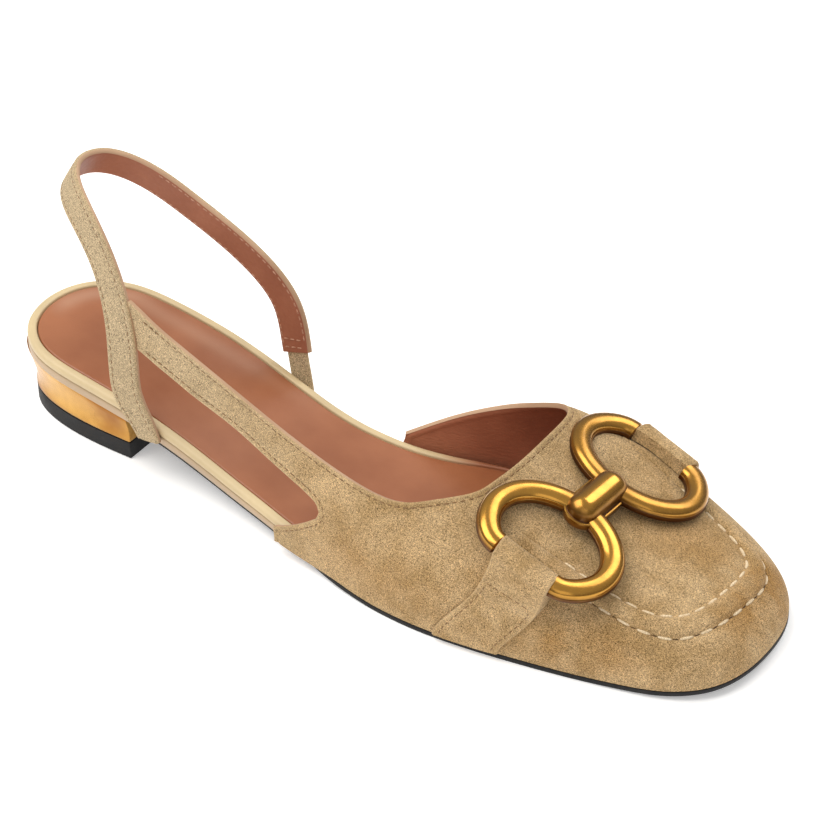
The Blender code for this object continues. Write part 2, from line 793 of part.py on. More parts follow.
def build_keeper(name, ornament, rise, feet, material, collection, cutter):
    """Suede strap from the sole edge, up the wall, over the ring's bar and down inside the ring."""
    across = 6
    along = 22
    bar = ornament.bar + ornament.normal * rise
    layers = monotone(column(KEEPER_LAYERS, 0), column(KEEPER_LAYERS, 1))
    seam_height = monotone(column(SEAM, 0), column(SEAM, 3))
    side = math.copysign(1.0, feet[0])
    runs = np.arange(30.0, 110.0, 0.5) * side
    ends = []
    for turn in (-1, 1):
        corner = bar + ornament.along * KEEPER_HALF_WIDTH * turn + ornament.inward * KEEPER_END
        ends.append(UPPER.nearest(corner, runs))
    reach = BAR_BAND / 2 + KEEPER_THICK + 2.4
    cover = BAR_HEIGHT - RING_HEIGHT / 2 + GAP + KEEPER_THICK
    spots = np.zeros((along + 1, across + 1, 3))
    normals = np.zeros((along + 1, across + 1, 3))
    thicks = np.zeros((along + 1, across + 1))
    for i in range(along + 1):
        v = i / along
        for j in range(across + 1):
            w = j / across
            foot_run = feet[0] + (feet[1] - feet[0]) * w
            end_run = ends[0][0] + (ends[1][0] - ends[0][0]) * w
            end_share = ends[0][1] + (ends[1][1] - ends[0][1]) * w
            run = foot_run + (end_run - foot_run) * v ** KEEPER_SWING
            spot, normal = UPPER.skin(run, KEEPER_FOOT_SHARE + (end_share - KEEPER_FOOT_SHARE) * v)
            spot = spot + normal * (GAP + SEAM_HEIGHT * float(seam_height(run)))
            thick = KEEPER_THICK * float(layers(v))
            slope = np.dot(normal, ornament.normal)
            over = np.dot(bar - spot, ornament.normal) / slope
            offset = np.dot(spot + normal * over - bar, ornament.inward)
            if abs(offset) < reach:
                arch = cover * math.sqrt(1 - (offset / reach) ** 2)
                thick = max(thick, over + arch / slope)
            spots[i, j] = spot
            normals[i, j] = normal
            thicks[i, j] = thick
    # The strap is pulled straight from the wall of the shoe up to the roll over the bar
    for j in range(across + 1):
        high = int(np.argmax(thicks[:, j]))
        for i in range(high):
            share = (i / along - KEEPER_SPAN_START) / (high / along - KEEPER_SPAN_START)
            if share > 0:
                thicks[i, j] = max(thicks[i, j], thicks[high, j] * share ** 1.5)
    tops = spots + normals * thicks[..., None]
    loops = [list(spots[i]) + list(tops[i][::-1]) for i in range(along + 1)]
    verts, faces = loft(loops, cap_first=True, cap_last=True)
    keeper = mesh_object(name, verts, faces, material, collection)
    cut = keeper.modifiers.new("bar", "BOOLEAN")
    cut.operation = "DIFFERENCE"
    cut.object = cutter
    return keeper


def build_ornament(gold, suede, collection, cutters):
    """Both rings, their keepers and the link."""
    tree = surface_tree()
    clearances = []
    rises = []
    for side, bar, fall, feet in (("lateral", LATERAL_BAR, LATERAL_BAR_FALL, LATERAL_KEEPER_FEET),
                                  ("medial", MEDIAL_BAR, MEDIAL_BAR_FALL, MEDIAL_KEEPER_FEET)):
        ornament = Ornament(bar, fall)
        rise = seat_rise(ornament, tree)
        rises.append(rise * ornament.normal)
        mesh_object("bit_ring_" + side, *ornament.solid(rise=rise), gold, collection)
        cutter = mesh_object("ring_clearance_" + side, *ornament.solid(grow=GAP, rise=rise), gold, cutters)
        cutter.hide_render = True
        cutter.display_type = "WIRE"
        clearances.append(cutter)
        build_keeper("ring_keeper_" + side, ornament, rise, feet, suede, collection, cutter)
    bpy.ops.mesh.primitive_cube_add(size=1.0)
    link = bpy.context.object
    link.name = "ring_link"
    link.data.name = "ring_link"
    for vert in link.data.vertices:
        vert.co = Vector([c * size * MM for c, size in zip(vert.co, LINK_SIZE)])
    for owner in list(link.users_collection):
        owner.objects.unlink(link)
    collection.objects.link(link)
    seat = np.array(LINK_CENTRE) + sum(rises) / 2 + np.array([0.0, 0.0, LINK_LIFT])
    link.location = Vector(seat) * MM
    line = np.array(MEDIAL_BAR, float) - np.array(LATERAL_BAR, float)
    link.rotation_euler = (math.atan2(line[2], line[1]), math.radians((LATERAL_BAR_FALL + MEDIAL_BAR_FALL) / 2),
                           -math.atan2(line[0], line[1]))
    link.data.materials.append(gold)
    rounding = link.modifiers.new("rounding", "BEVEL")
    rounding.width = 2.4 * MM
    rounding.segments = 3
    for cutter in clearances:
        slot = link.modifiers.new("slot", "BOOLEAN")
        slot.operation = "DIFFERENCE"
        slot.object = cutter
    return link


def make_materials():
    """One Principled material for each finish."""
    made = {}
    for name, (colour, rough, metal) in MATERIALS.items():
        material = bpy.data.materials.new(name)
        material.use_nodes = True
        shader = material.node_tree.nodes["Principled BSDF"]
        shader.inputs["Base Color"].default_value = (*colour, 1.0)
        shader.inputs["Roughness"].default_value = rough
        shader.inputs["Metallic"].default_value = metal
        made[name] = material
    return made


def centre_on_floor(collection, cutters):
    """Hang every piece on an empty that puts the middle of the shoe's box at the origin."""
    bpy.context.view_layer.update()
    graph = bpy.context.evaluated_depsgraph_get()
    low = np.full(3, 1e9)
    high = np.full(3, -1e9)
    for item in collection.objects:
        shape = item.evaluated_get(graph)
        for corner in shape.bound_box:
            place = np.array(shape.matrix_world @ Vector(corner))
            low = np.minimum(low, place)
            high = np.maximum(high, place)
    root = bpy.data.objects.new("shoe_origin", None)
    collection.objects.link(root)
    for item in list(collection.objects) + list(cutters.objects):
        if item is not root:
            item.parent = root
    root.location = (-(low[0] + high[0]) / 2, -(low[1] + high[1]) / 2, -low[2])
    bpy.context.view_layer.update()


def main():
    """Clear the scene and build the shoe."""
    for item in list(bpy.data.objects):
        bpy.data.objects.remove(item, do_unlink=True)
    shoe = bpy.data.collections.new("slingback_flat")
    cutters = bpy.data.collections.new("slingback_flat_cutters")
    bpy.context.scene.collection.children.link(shoe)
    bpy.context.scene.collection.children.link(cutters)
    finish = make_materials()
    build_outsole(finish["black_rubber"], shoe)
    build_footbed(finish["rim_leather"], shoe)
    build_sock(finish["sock_leather"], shoe)
    build_heel(finish["heel_gold"], finish["black_rubber"], shoe)
    build_upper(finish["suede"], shoe, cutters)
    build_ribbon("sling_tab", SLING_END + GAP, float(SLING_CHORD[-1]), TAB_WIDTH, TAB_THICK, 10,
                 finish["suede"], shoe)
    build_ornament(finish["ring_gold"], finish["suede"], shoe, cutters)
    centre_on_floor(shoe, cutters)


if __name__ == "__main__":
    main()
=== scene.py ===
"""Looks of the slingback flat: suede, leather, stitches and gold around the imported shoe."""
import logging
import math
from dataclasses import dataclass, field
from enum import Enum
from typing import Any, Callable, Iterable, Sequence

import bpy
import numpy as np
from mathutils import Matrix, Vector
from mathutils.kdtree import KDTree

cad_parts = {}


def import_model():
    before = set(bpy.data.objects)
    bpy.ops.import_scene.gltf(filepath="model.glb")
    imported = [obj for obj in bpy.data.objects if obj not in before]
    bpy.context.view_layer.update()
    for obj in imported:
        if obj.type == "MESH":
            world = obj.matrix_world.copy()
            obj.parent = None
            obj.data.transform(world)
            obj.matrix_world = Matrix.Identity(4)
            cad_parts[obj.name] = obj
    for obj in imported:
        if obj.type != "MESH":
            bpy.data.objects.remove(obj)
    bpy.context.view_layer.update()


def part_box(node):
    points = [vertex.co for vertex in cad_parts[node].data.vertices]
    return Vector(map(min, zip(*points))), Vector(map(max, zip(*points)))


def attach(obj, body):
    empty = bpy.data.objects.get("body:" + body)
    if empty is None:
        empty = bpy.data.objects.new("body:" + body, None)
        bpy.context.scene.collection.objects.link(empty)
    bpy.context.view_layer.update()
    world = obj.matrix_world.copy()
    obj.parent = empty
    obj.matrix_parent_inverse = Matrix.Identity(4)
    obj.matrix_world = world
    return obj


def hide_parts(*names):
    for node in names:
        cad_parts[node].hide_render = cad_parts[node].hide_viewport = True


LOG = logging.getLogger("slingback_flat")
Array = np.ndarray
MM = 0.001
GAP = 0.3
EDGE_STITCH = 1.7
GROOVE = 0.12
KEEPER_FOLD = 0.69

# Outline of the sole, half widths from the axis to the outer and the inner side
OUTLINE = [
    # x, lateral, medial
    (4, 13.9, 13.9),
    (13, 21.5, 21.7),
    (30, 24.7, 24.7),
    (55, 24.9, 24.8),
    (85, 27.7, 21.8),
    (115, 33.7, 21.5),
    (140, 39.4, 31.0),
    (162, 41.2, 35.4),
    (182, 39.4, 38.5),
    (202, 35.9, 39.0),
    (220, 32.0, 36.5),
    (234, 27.8, 31.5),
    (244, 20.8, 23.0),
]

# Side view of the sole: underside and top of the footbed, and the width of its bare rim
SOLE_PROFILE = [
    # x, underside, top, rim
    (0, 21.6, 27.4, 2.8),
    (30, 18.4, 24.2, 2.8),
    (50, 15.2, 20.8, 2.8),
    (60, 13.1, 18.7, 2.8),
    (95, 6.1, 11.1, 2.8),
    (130, 2.7, 7.0, 2.6),
    (150, 1.8, 5.7, 1.2),
    (205, 1.8, 5.3, 1.2),
    (230, 2.6, 6.2, 1.2),
    (250, 4.6, 8.0, 1.2),
]

# Side of the heel block: share of the way to its lower outline, inset, and share of its height
HEEL_SIDE = [
    # down, inset, height
    (0.0, 0.25, 1.0),
    (0.0, 0.0, 0.97),
    (0.02, 0.0, 0.9),
    (0.12, 0.25, 0.78),
    (0.25, 0.45, 0.62),
    (0.45, 0.6, 0.44),
    (0.68, 0.5, 0.26),
    (0.85, 0.2, 0.12),
    (0.92, 0.0, 0.06),
    (0.95, 0.0, 0.02),
    (0.95, 0.2, 0.0),
]

# Ribs of the upper from the sole edge to the topline
RIBS = [
    # run, top_x, top_y, top_z, heading, fall, reach, rise, flare
    (-218, 53.0, -26.6, 60.0, -90, 86, 12, 18, 2),
    (-174, 97.2, -31.0, 46.4, -90, 88, 12, 14, 5),
    (-143, 126.3, -34.0, 39.0, -88, 80, 12, 12, 6),
    (-122, 147.0, -34.0, 35.3, -82, 72, 12, 14, 5),
    (-100, 159.3, -29.0, 36.6, -66, 52, 15, 19, 4),
    (-78, 167.5, -22.0, 38.0, -48, 39, 21, 20, 4),
    (-56, 170.9, -16.5, 39.7, -34, 36, 28, 19, 4),
    (-36, 172.8, -9.5, 41.1, -20, 36, 34, 18, 5),
    (-18, 173.8, -2.3, 42.1, -9, 37, 36, 19, 5),
    (0, 174.1, 5.2, 42.7, 0, 38, 36, 20, 5),
    (18, 173.9, 12.0, 42.6, 9, 38, 35, 19, 5),
    (36, 172.9, 18.3, 41.8, 20, 32, 31, 17, 5),
    (56, 170.9, 22.9, 41.0, 36, 25, 26, 15, 4),
    (80, 166.0, 25.1, 39.6, 58, 29, 19, 14, 4),
    (105, 156.0, 26.6, 34.8, 76, 48, 13, 13, 3),
    (128, 144.5, 28.0, 28.3, 86, 70, 9, 10, 3),
    (145, 129.5, 27.6, 19.0, 90, 80, 5, 6, 2),
    (160, 115.3, 23.6, 9.8, 90, 88, 2, 2, 1),
]

# Cut-out between the quarter strap and the sole
STRAP_LOW_EDGE = [
    # x, height
    (50, 46.0),
    (58, 45.1),
    (67, 42.8),
    (78, 39.4),
    (94, 35.6),
    (106, 32.0),
    (116, 29.2),
    (123, 27.0),
    (126.4, 25.2),
    (127.5, 23.0),
]
TAIL_TOP_EDGE = [
    # x, height
    (110, 9.6),
    (116, 13.0),
    (120, 15.6),
    (124, 18.6),
    (126.6, 20.9),
    (127.5, 23.0),
]

# Raised apron seam: its edges as shares of the rib from sole to topline
SEAM = [
    # run, outer, inner, height share
    (-90, 0.25, 0.46, 0.0),
    (-56, 0.58, 0.78, 0.0),
    (-48, 0.48, 0.70, 1.0),
    (-41, 0.37, 0.59, 1.0),
    (-33, 0.25, 0.42, 1.0),
    (-25, 0.195, 0.30, 1.0),
    (-16, 0.185, 0.26, 1.0),
    (0, 0.175, 0.25, 1.0),
    (14, 0.16, 0.24, 1.0),
    (20, 0.18, 0.27, 1.0),
    (28, 0.25, 0.40, 1.0),
    (38, 0.38, 0.55, 1.0),
    (46, 0.48, 0.68, 1.0),
    (54, 0.58, 0.78, 0.0),
    (90, 0.25, 0.46, 0.0),
]

# Sling strap: middle of the band, plan direction that its outer face looks to, and inward lean
SLING = [
    # x, y, z, heading, lean
    (59.2, -26.4, 13.4, -90, 0),
    (56.6, -26.9, 20.0, -90, 0),
    (52.7, -27.2, 27.5, -90, 1),
    (51.5, -27.2, 36.0, -90, 3),
    (50.9, -26.8, 47.0, -92, 5),
    (48.2, -25.2, 57.0, -97, 9),
    (41.0, -21.6, 68.0, -108, 15),
    (29.5, -16.0, 76.2, -125, 22),
    (19.4, -8.0, 78.4, -150, 26),
    (14.8, 1.0, 78.0, -182, 28),
    (16.2, 9.5, 76.4, -213, 26),
    (24.6, 17.0, 71.8, -238, 21),
    (40.2, 22.0, 62.2, -254, 16),
    (58.4, 25.2, 50.2, -262, 11),
    (70.4, 26.8, 36.6, -268, 6),
    (74.4, 26.3, 21.0, -270, 2),
    (76.9, 24.6, 14.5, -270, 0),
    (78.3, 23.8, 9.4, -270, 0),
]


class Side(Enum):
    """Side of the foot that a piece of the ornament lies on."""

    LATERAL = "lateral"
    MEDIAL = "medial"


class Slot(Enum):
    """Material slots of the record."""

    SUEDE = "suede"
    RIM = "rim_leather"
    SOCK = "sock_leather"
    RUBBER = "black_rubber"
    HEEL = "heel_gold"
    RING = "ring_gold"


def column(table: Sequence[Sequence[float]], index: int) -> Array:
    """One column of a table as an array."""
    return np.array([row[index] for row in table], float)


def monotone(xs: Array, ys: Array) -> Callable[[Any], Any]:
    """Curve through the rows that never overshoots them.

    Args:
        xs: Rising places of the rows.
        ys: Values of the rows.

    Returns:
        A function of the place, held at the end rows.
    """
    step = np.diff(xs)
    slope = np.diff(ys) / step
    tangent = np.zeros(len(xs))
    for k in range(1, len(xs) - 1):
        if slope[k - 1] * slope[k] > 0:
            a = 2 * step[k] + step[k - 1]
            b = step[k] + 2 * step[k - 1]
            tangent[k] = (a + b) / (a / slope[k - 1] + b / slope[k])
    tangent[0] = slope[0]
    tangent[-1] = slope[-1]

    def at(x: Any) -> Any:
        """Value of the curve at a place."""
        x = np.clip(np.asarray(x, float), xs[0], xs[-1])
        k = np.clip(np.searchsorted(xs, x) - 1, 0, len(step) - 1)
        t = (x - xs[k]) / step[k]
        h00 = (1 + 2 * t) * (1 - t) ** 2
        h10 = t * (1 - t) ** 2
        h01 = t * t * (3 - 2 * t)
        h11 = t * t * (t - 1)
        return (h00 * ys[k] + h10 * step[k] * tangent[k]
                + h01 * ys[k + 1] + h11 * step[k] * tangent[k + 1])

    return at


def spline(knots: Array, values: Array) -> Callable[[Any], Array]:
    """Natural cubic spline through vectors or numbers at the knots.

    Args:
        knots: Rising places of the rows.
        values: One number or one vector for each knot.

    Returns:
        A function of the place.
    """
    k = np.asarray(knots, float)
    v = np.asarray(values, float)
    flat = v.ndim == 1
    if flat:
        v = v[:, None]
    n = len(k)
    h = np.diff(k)
    matrix = np.zeros((n, n))
    right = np.zeros((n, v.shape[1]))
    matrix[0, 0] = 1.0
    matrix[-1, -1] = 1.0
    for i in range(1, n - 1):
        matrix[i, i - 1] = h[i - 1]
        matrix[i, i] = 2 * (h[i - 1] + h[i])
        matrix[i, i + 1] = h[i]
        right[i] = 6 * ((v[i + 1] - v[i]) / h[i] - (v[i] - v[i - 1]) / h[i - 1])
    bend = np.linalg.solve(matrix, right)

    def at(t: Any) -> Array:
        """Point of the spline at a place."""
        t = np.asarray(t, float)
        i = np.clip(np.searchsorted(k, t) - 1, 0, n - 2)
        a = (k[i + 1] - t)[..., None]
        b = (t - k[i])[..., None]
        w = h[i][..., None]
        out = (bend[i] * a ** 3 + bend[i + 1] * b ** 3) / (6 * w)
        out = out + (v[i] / w - bend[i] * w / 6) * a + (v[i + 1] / w - bend[i + 1] * w / 6) * b
        return out[..., 0] if flat else out

    return at


def ease(count: int, tight_start: bool = True) -> Array:
    """Shares from 0 to 1 that crowd at the end, and at the start if asked."""
    u = np.linspace(0, 1, count)
    if tight_start:
        return 0.5 - 0.5 * np.cos(math.pi * u)
    return np.sin(0.5 * math.pi * u)


def grid_normals(points: Array) -> Array:
    """Unit normals of a grid of points, from its two directions."""
    normal = np.cross(np.gradient(points, axis=0), np.gradient(points, axis=1))
    length = np.linalg.norm(normal, axis=2, keepdims=True)
    return normal / np.maximum(length, 1e-9)


def distances(line: Array) -> Array:
    """Distance along a line of points at each of them."""
    return np.concatenate([[0], np.cumsum(np.linalg.norm(np.diff(line, axis=0), axis=1))])


def bell(offset: Any, width: float) -> Any:
    """One at no offset, falling softly to nothing over a few widths."""
    return np.exp(-(offset / width) ** 2)


def ramp(offset: Any, length: float) -> Any:
    """Zero up to no offset, one from a full length on."""
    return np.clip(offset / length, 0, 1)


def line_of(rows: Iterable[tuple[Array, Array]]) -> tuple[Array, Array]:
    """Line of points and normals from its rows."""
    spots, normals = zip(*rows)
    return np.array(spots), np.array(normals)


@dataclass
class Site:
    """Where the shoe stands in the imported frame, read from its sole and heel."""

    back: float = 0.0
    axis: float = 0.0

    @classmethod
    def read(cls) -> "Site":
        """Find the back of the footbed and the axis of the heel."""
        lift_low, lift_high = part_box("heel_lift")
        return cls(back=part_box("footbed")[0].x, axis=0.5 * (lift_low.y + lift_high.y))

    def metres(self, points: Any) -> Array:
        """Frame positions in metres of points in millimetres from the back of the footbed."""
        return np.asarray(points, float) * MM + np.array([self.back, self.axis, 0.0])

    def local(self, spots: Array) -> Array:
        """Millimetres along, across and up of frame positions, as three rows."""
        return ((spots - np.array([self.back, self.axis, 0.0])) / MM).T


class Bench:
    """Mesh making with Blender's own operators."""

    @staticmethod
    def clear() -> None:
        """Leave edit mode and deselect everything."""
        if bpy.context.mode != "OBJECT":
            bpy.ops.object.mode_set(mode="OBJECT")
        bpy.ops.object.select_all(action="DESELECT")

    @staticmethod
    def focus(item: bpy.types.Object) -> None:
        """Select one object alone and make it active."""
        Bench.clear()
        item.select_set(True)
        bpy.context.view_layer.objects.active = item

    @staticmethod
    def sheet(name: str, points: Array) -> bpy.types.Object:
        """Grid primitive whose points are moved to given places.

        Args:
            name: Name of the object and its mesh.
            points: Places in metres, one for each column and row.

        Returns:
            The new object, with the grid's own UV map.
        """
        Bench.clear()
        columns, rows = points.shape[0] - 1, points.shape[1] - 1
        bpy.ops.mesh.primitive_grid_add(x_subdivisions=columns, y_subdivisions=rows, size=1.0)
        item = bpy.context.object
        item.name = name
        item.data.name = name
        flat = np.zeros(len(item.data.vertices) * 3)
        item.data.vertices.foreach_get("co", flat)
        flat = flat.reshape(-1, 3)
        u = np.rint((flat[:, 0] + 0.5) * columns).astype(int)
        v = np.rint((flat[:, 1] + 0.5) * rows).astype(int)
        item.data.vertices.foreach_set("co", points[u, v].ravel())
        item.data.update()
        return item

    @staticmethod
    def weld(item: bpy.types.Object, turn_out: bool = True, fill: bool = False) -> None:
        """Merge doubled points, close open ends if asked, and turn the faces out."""
        Bench.focus(item)
        bpy.ops.object.mode_set(mode="EDIT")
        bpy.ops.mesh.select_all(action="SELECT")
        bpy.ops.mesh.remove_doubles(threshold=0.000004)
        if fill:
            bpy.ops.mesh.select_all(action="DESELECT")
            bpy.ops.mesh.select_non_manifold(extend=False, use_wire=False, use_multi_face=False,
                                             use_non_contiguous=False, use_verts=False)
            bpy.ops.mesh.fill_holes(sides=0)
            bpy.ops.mesh.select_all(action="SELECT")
        if turn_out:
            bpy.ops.mesh.normals_make_consistent(inside=False)
        bpy.ops.object.mode_set(mode="OBJECT")

    @staticmethod
    def join(items: Sequence[bpy.types.Object], name: str) -> bpy.types.Object:
        """Join objects into the first one."""
        Bench.focus(items[0])
        for item in items:
            item.select_set(True)
        bpy.ops.object.join()
        items[0].name = name
        items[0].data.name = name
        return items[0]

    @staticmethod
    def modify(item: bpy.types.Object, kind: str, **settings: Any) -> None:
        """Add a modifier, set it and apply it."""
        Bench.focus(item)
        modifier = item.modifiers.new(kind.lower(), kind)
        for key, value in settings.items():
            setattr(modifier, key, value)
        bpy.ops.object.modifier_apply(modifier=modifier.name)

    @staticmethod
    def smooth(item: bpy.types.Object, degrees: float = 40.0) -> None:
        """Shade smooth up to an angle."""
        Bench.focus(item)
        bpy.ops.object.shade_smooth_by_angle(angle=math.radians(degrees))

    @staticmethod
    def points(item: bpy.types.Object) -> Array:
        """Point places of a mesh."""
        flat = np.zeros(len(item.data.vertices) * 3)
        item.data.vertices.foreach_get("co", flat)
        return flat.reshape(-1, 3)

    @staticmethod
    def normals(item: bpy.types.Object) -> Array:
        """Point normals of a mesh."""
        flat = np.zeros(len(item.data.vertices) * 3)
        item.data.vertices.foreach_get("normal", flat)
        return flat.reshape(-1, 3)

    @staticmethod
    def move(item: bpy.types.Object, points: Array) -> None:
        """Put a mesh's points at new places."""
        item.data.vertices.foreach_set("co", points.ravel())
        item.data.update()

    @staticmethod
    def note(item: bpy.types.Object, name: str, values: Array) -> None:
        """Store one number for each point of a mesh as an attribute."""
        layer = item.data.attributes.get(name) or item.data.attributes.new(name, "FLOAT", "POINT")
        layer.data.foreach_set("value", np.asarray(values, np.float32))

    @staticmethod
    def closest(spots: Array, targets: Array) -> tuple[Array, Array]:
        """Index of the target closest to each spot, and its distance."""
        tree = KDTree(len(targets))
        for k, target in enumerate(targets):
            tree.insert(target, k)
        tree.balance()
        found = [tree.find(spot) for spot in spots]
        return np.array([row[1] for row in found]), np.array([row[2] for row in found])

    @staticmethod
    def wear(item: bpy.types.Object, materials: Sequence[bpy.types.Material],
             choice: Array | None = None) -> None:
        """Give a piece its materials, and each face its choice among them."""
        item.data.materials.clear()
        for material in materials:
            item.data.materials.append(material)
        if choice is not None:
            item.data.polygons.foreach_set("material_index", np.asarray(choice, np.int32))
            item.data.update()


def dress(item: bpy.types.Object, slot: Slot, *nodes: str) -> bpy.types.Object:
    """Let a piece ride on the shoe, and hide the nodes that it stands for."""
    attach(item, "root")
    if nodes:
        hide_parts(*nodes)
    LOG.info("%s: %d faces", item.name, len(item.data.polygons))
    return item


class NodeSheet:
    """Short way to add shader nodes and wire them."""

    def __init__(self, tree: bpy.types.NodeTree) -> None:
        """Start on an emptied tree."""
        self.tree = tree
        tree.nodes.clear()

    def add(self, kind: str, inputs: dict | None = None, **settings: Any) -> bpy.types.Node:
        """Add a node.

        Args:
            kind: Node type without its ShaderNode prefix.
            inputs: Values or source sockets by input name or number.
            **settings: Properties of the node.

        Returns:
            The new node.
        """
        node = self.tree.nodes.new("ShaderNode" + kind if not kind.startswith("NodeGroup") else kind)
        for key, value in settings.items():
            setattr(node, key, value)
        for key, value in (inputs or {}).items():
            if isinstance(value, bpy.types.NodeSocket):
                self.tree.links.new(value, node.inputs[key])
            else:
                node.inputs[key].default_value = value
        return node

    def math(self, operation: str, a: Any, b: Any = 0.0, clamp: bool = False) -> bpy.types.NodeSocket:
        """Result of a Math node."""
        return self.add("Math", {0: a, 1: b}, operation=operation, use_clamp=clamp).outputs[0]

    def mix(self, share: Any, a: Any, b: Any, blend: str = "MIX") -> bpy.types.NodeSocket:
        """Result of a colour Mix node."""
        node = self.add("Mix", {0: share, 6: a, 7: b}, data_type="RGBA", blend_type=blend)
        return node.outputs[2]

    def span(self, value: Any, low: float, high: float, to_low: float = 0.0,
             to_high: float = 1.0) -> bpy.types.NodeSocket:
        """Value moved from one span to another, held at its ends."""
        return self.add("MapRange", {0: value, 1: low, 2: high, 3: to_low, 4: to_high}).outputs[0]

    def place(self, scale: tuple[float, float, float] = (1, 1, 1)) -> bpy.types.NodeSocket:
        """Object coordinates, stretched by a scale."""
        source = self.add("TexCoord").outputs["Object"]
        if scale == (1, 1, 1):
            return source
        return self.add("Mapping", {"Vector": source, "Scale": scale}).outputs[0]

    def noise(self, scale: float, detail: float = 2.0, rough: float = 0.5,
              vector: bpy.types.NodeSocket | None = None) -> bpy.types.NodeSocket:
        """Noise value of a scale in cells per metre."""
        inputs = {"Scale": scale, "Detail": detail, "Roughness": rough}
        inputs["Vector"] = vector if vector is not None else self.place()
        return self.add("TexNoise", inputs).outputs[0]

    def attribute(self, name: str) -> bpy.types.NodeSocket:
        """Number that a piece keeps on its points."""
        return self.add("Attribute", attribute_name=name).outputs["Fac"]

    def grey(self, value: bpy.types.NodeSocket) -> bpy.types.NodeSocket:
        """Colour with one value in all its channels."""
        return self.add("CombineColor", {0: value, 1: value, 2: value}).outputs[0]

    def wire(self, node: bpy.types.Node, **sources: bpy.types.NodeSocket) -> None:
        """Link sources to inputs of a node, with spaces written as underscores."""
        for key, source in sources.items():
            self.tree.links.new(source, node.inputs[key.replace("_", " ")])

    def bump(self, shader: bpy.types.Node, strength: float, distance: float, height: Any) -> None:
        """Roughen the surface of a shader by a height."""
        relief = self.add("Bump", {"Strength": strength, "Distance": distance, "Height": height})
        self.wire(shader, Normal=relief.outputs[0])


Colour = tuple[float, float, float]


def full(colour: Colour) -> tuple[float, float, float, float]:
    """Colour with full cover."""
    return (*colour, 1.0)


class Groups:
    """Shader effects that more than one finish uses, each built once."""

    def __init__(self) -> None:
        """Build the groups."""
        self.nap = self.build_nap()
        self.grain = self.build_grain()

    @staticmethod
    def start(name: str, inputs: dict[str, float], outputs: Iterable[str]) -> tuple[Any, Any, Any, Any]:
        """New group with float sockets.

        Args:
            name: Name of the group.
            inputs: Start value of each input.
            outputs: Names of the outputs.

        Returns:
            The tree, its node sheet, and its input and output nodes.
        """
        tree = bpy.data.node_groups.new(name, "ShaderNodeTree")
        for key, value in inputs.items():
            socket = tree.interface.new_socket(name=key, in_out="INPUT", socket_type="NodeSocketFloat")
            socket.default_value = value
        for key in outputs:
            tree.interface.new_socket(name=key, in_out="OUTPUT", socket_type="NodeSocketFloat")
        sheet = NodeSheet(tree)
        return tree, sheet, sheet.add("NodeGroupInput"), sheet.add("NodeGroupOutput")

    def build_nap(self) -> bpy.types.NodeTree:
        """Brushed nap: fine speckle, brushed clouds and the height of the fibres."""
        tree, sheet, start, end = self.start("brushed_nap", {"Cells": 1500.0, "Cloud Cells": 120.0},
                                             ("Speckle", "Cloud", "Height"))
        place = sheet.place()
        fine = sheet.add("TexNoise", {"Vector": place, "Scale": start.outputs["Cells"], "Detail": 3.0,
                                      "Roughness": 0.7})
        coarse = sheet.math("MULTIPLY", start.outputs["Cells"], 0.42)
        tuft = sheet.add("TexNoise", {"Vector": place, "Scale": coarse, "Detail": 2.0, "Roughness": 0.6})
        cloud = sheet.add("TexNoise", {"Vector": place, "Scale": start.outputs["Cloud Cells"], "Detail": 3.0,
                                       "Roughness": 0.55, "Distortion": 0.4})
        both = sheet.math("ADD", sheet.math("MULTIPLY", fine.outputs[0], 0.78),
                          sheet.math("MULTIPLY", tuft.outputs[0], 0.22))
        sheet.wire(end, Speckle=sheet.span(both, 0.36, 0.64), Cloud=sheet.span(cloud.outputs[0], 0.35, 0.65),
                   Height=both)
        return tree

    def build_grain(self) -> bpy.types.NodeTree:
        """Leather grain: pores, soft mottling and the height of both."""
        tree, sheet, start, end = self.start("leather_grain", {"Cells": 900.0, "Cloud Cells": 60.0},
                                             ("Mottle", "Height"))
        place = sheet.place()
        pores = sheet.add("TexVoronoi", {"Vector": place, "Scale": start.outputs["Cells"]},
                          feature="SMOOTH_F1")
        soft = sheet.add("TexNoise", {"Vector": place, "Scale": start.outputs["Cells"], "Detail": 3.0})
        cloud = sheet.add("TexNoise", {"Vector": place, "Scale": start.outputs["Cloud Cells"], "Detail": 4.0})
        height = sheet.math("ADD", sheet.math("MULTIPLY", pores.outputs[0], 0.6),
                            sheet.math("MULTIPLY", soft.outputs[0], 0.5))
        sheet.wire(end, Mottle=sheet.span(cloud.outputs[0], 0.3, 0.7), Height=height)
        return tree


def principled(name: str, **values: Any) -> tuple[bpy.types.Material, NodeSheet, bpy.types.Node]:
    """New material with a Principled shader.

    Args:
        name: Name of the material.
        **values: Constant inputs, with spaces written as underscores.

    Returns:
        The material, its node sheet and its shader node.
    """
    material = bpy.data.materials.new(name)
    material.use_nodes = True
    sheet = NodeSheet(material.node_tree)
    shader = sheet.add("BsdfPrincipled")
    out = sheet.add("OutputMaterial")
    sheet.tree.links.new(shader.outputs[0], out.inputs[0])
    for key, value in values.items():
        shader.inputs[key.replace("_", " ")].default_value = value
    return material, sheet, shader


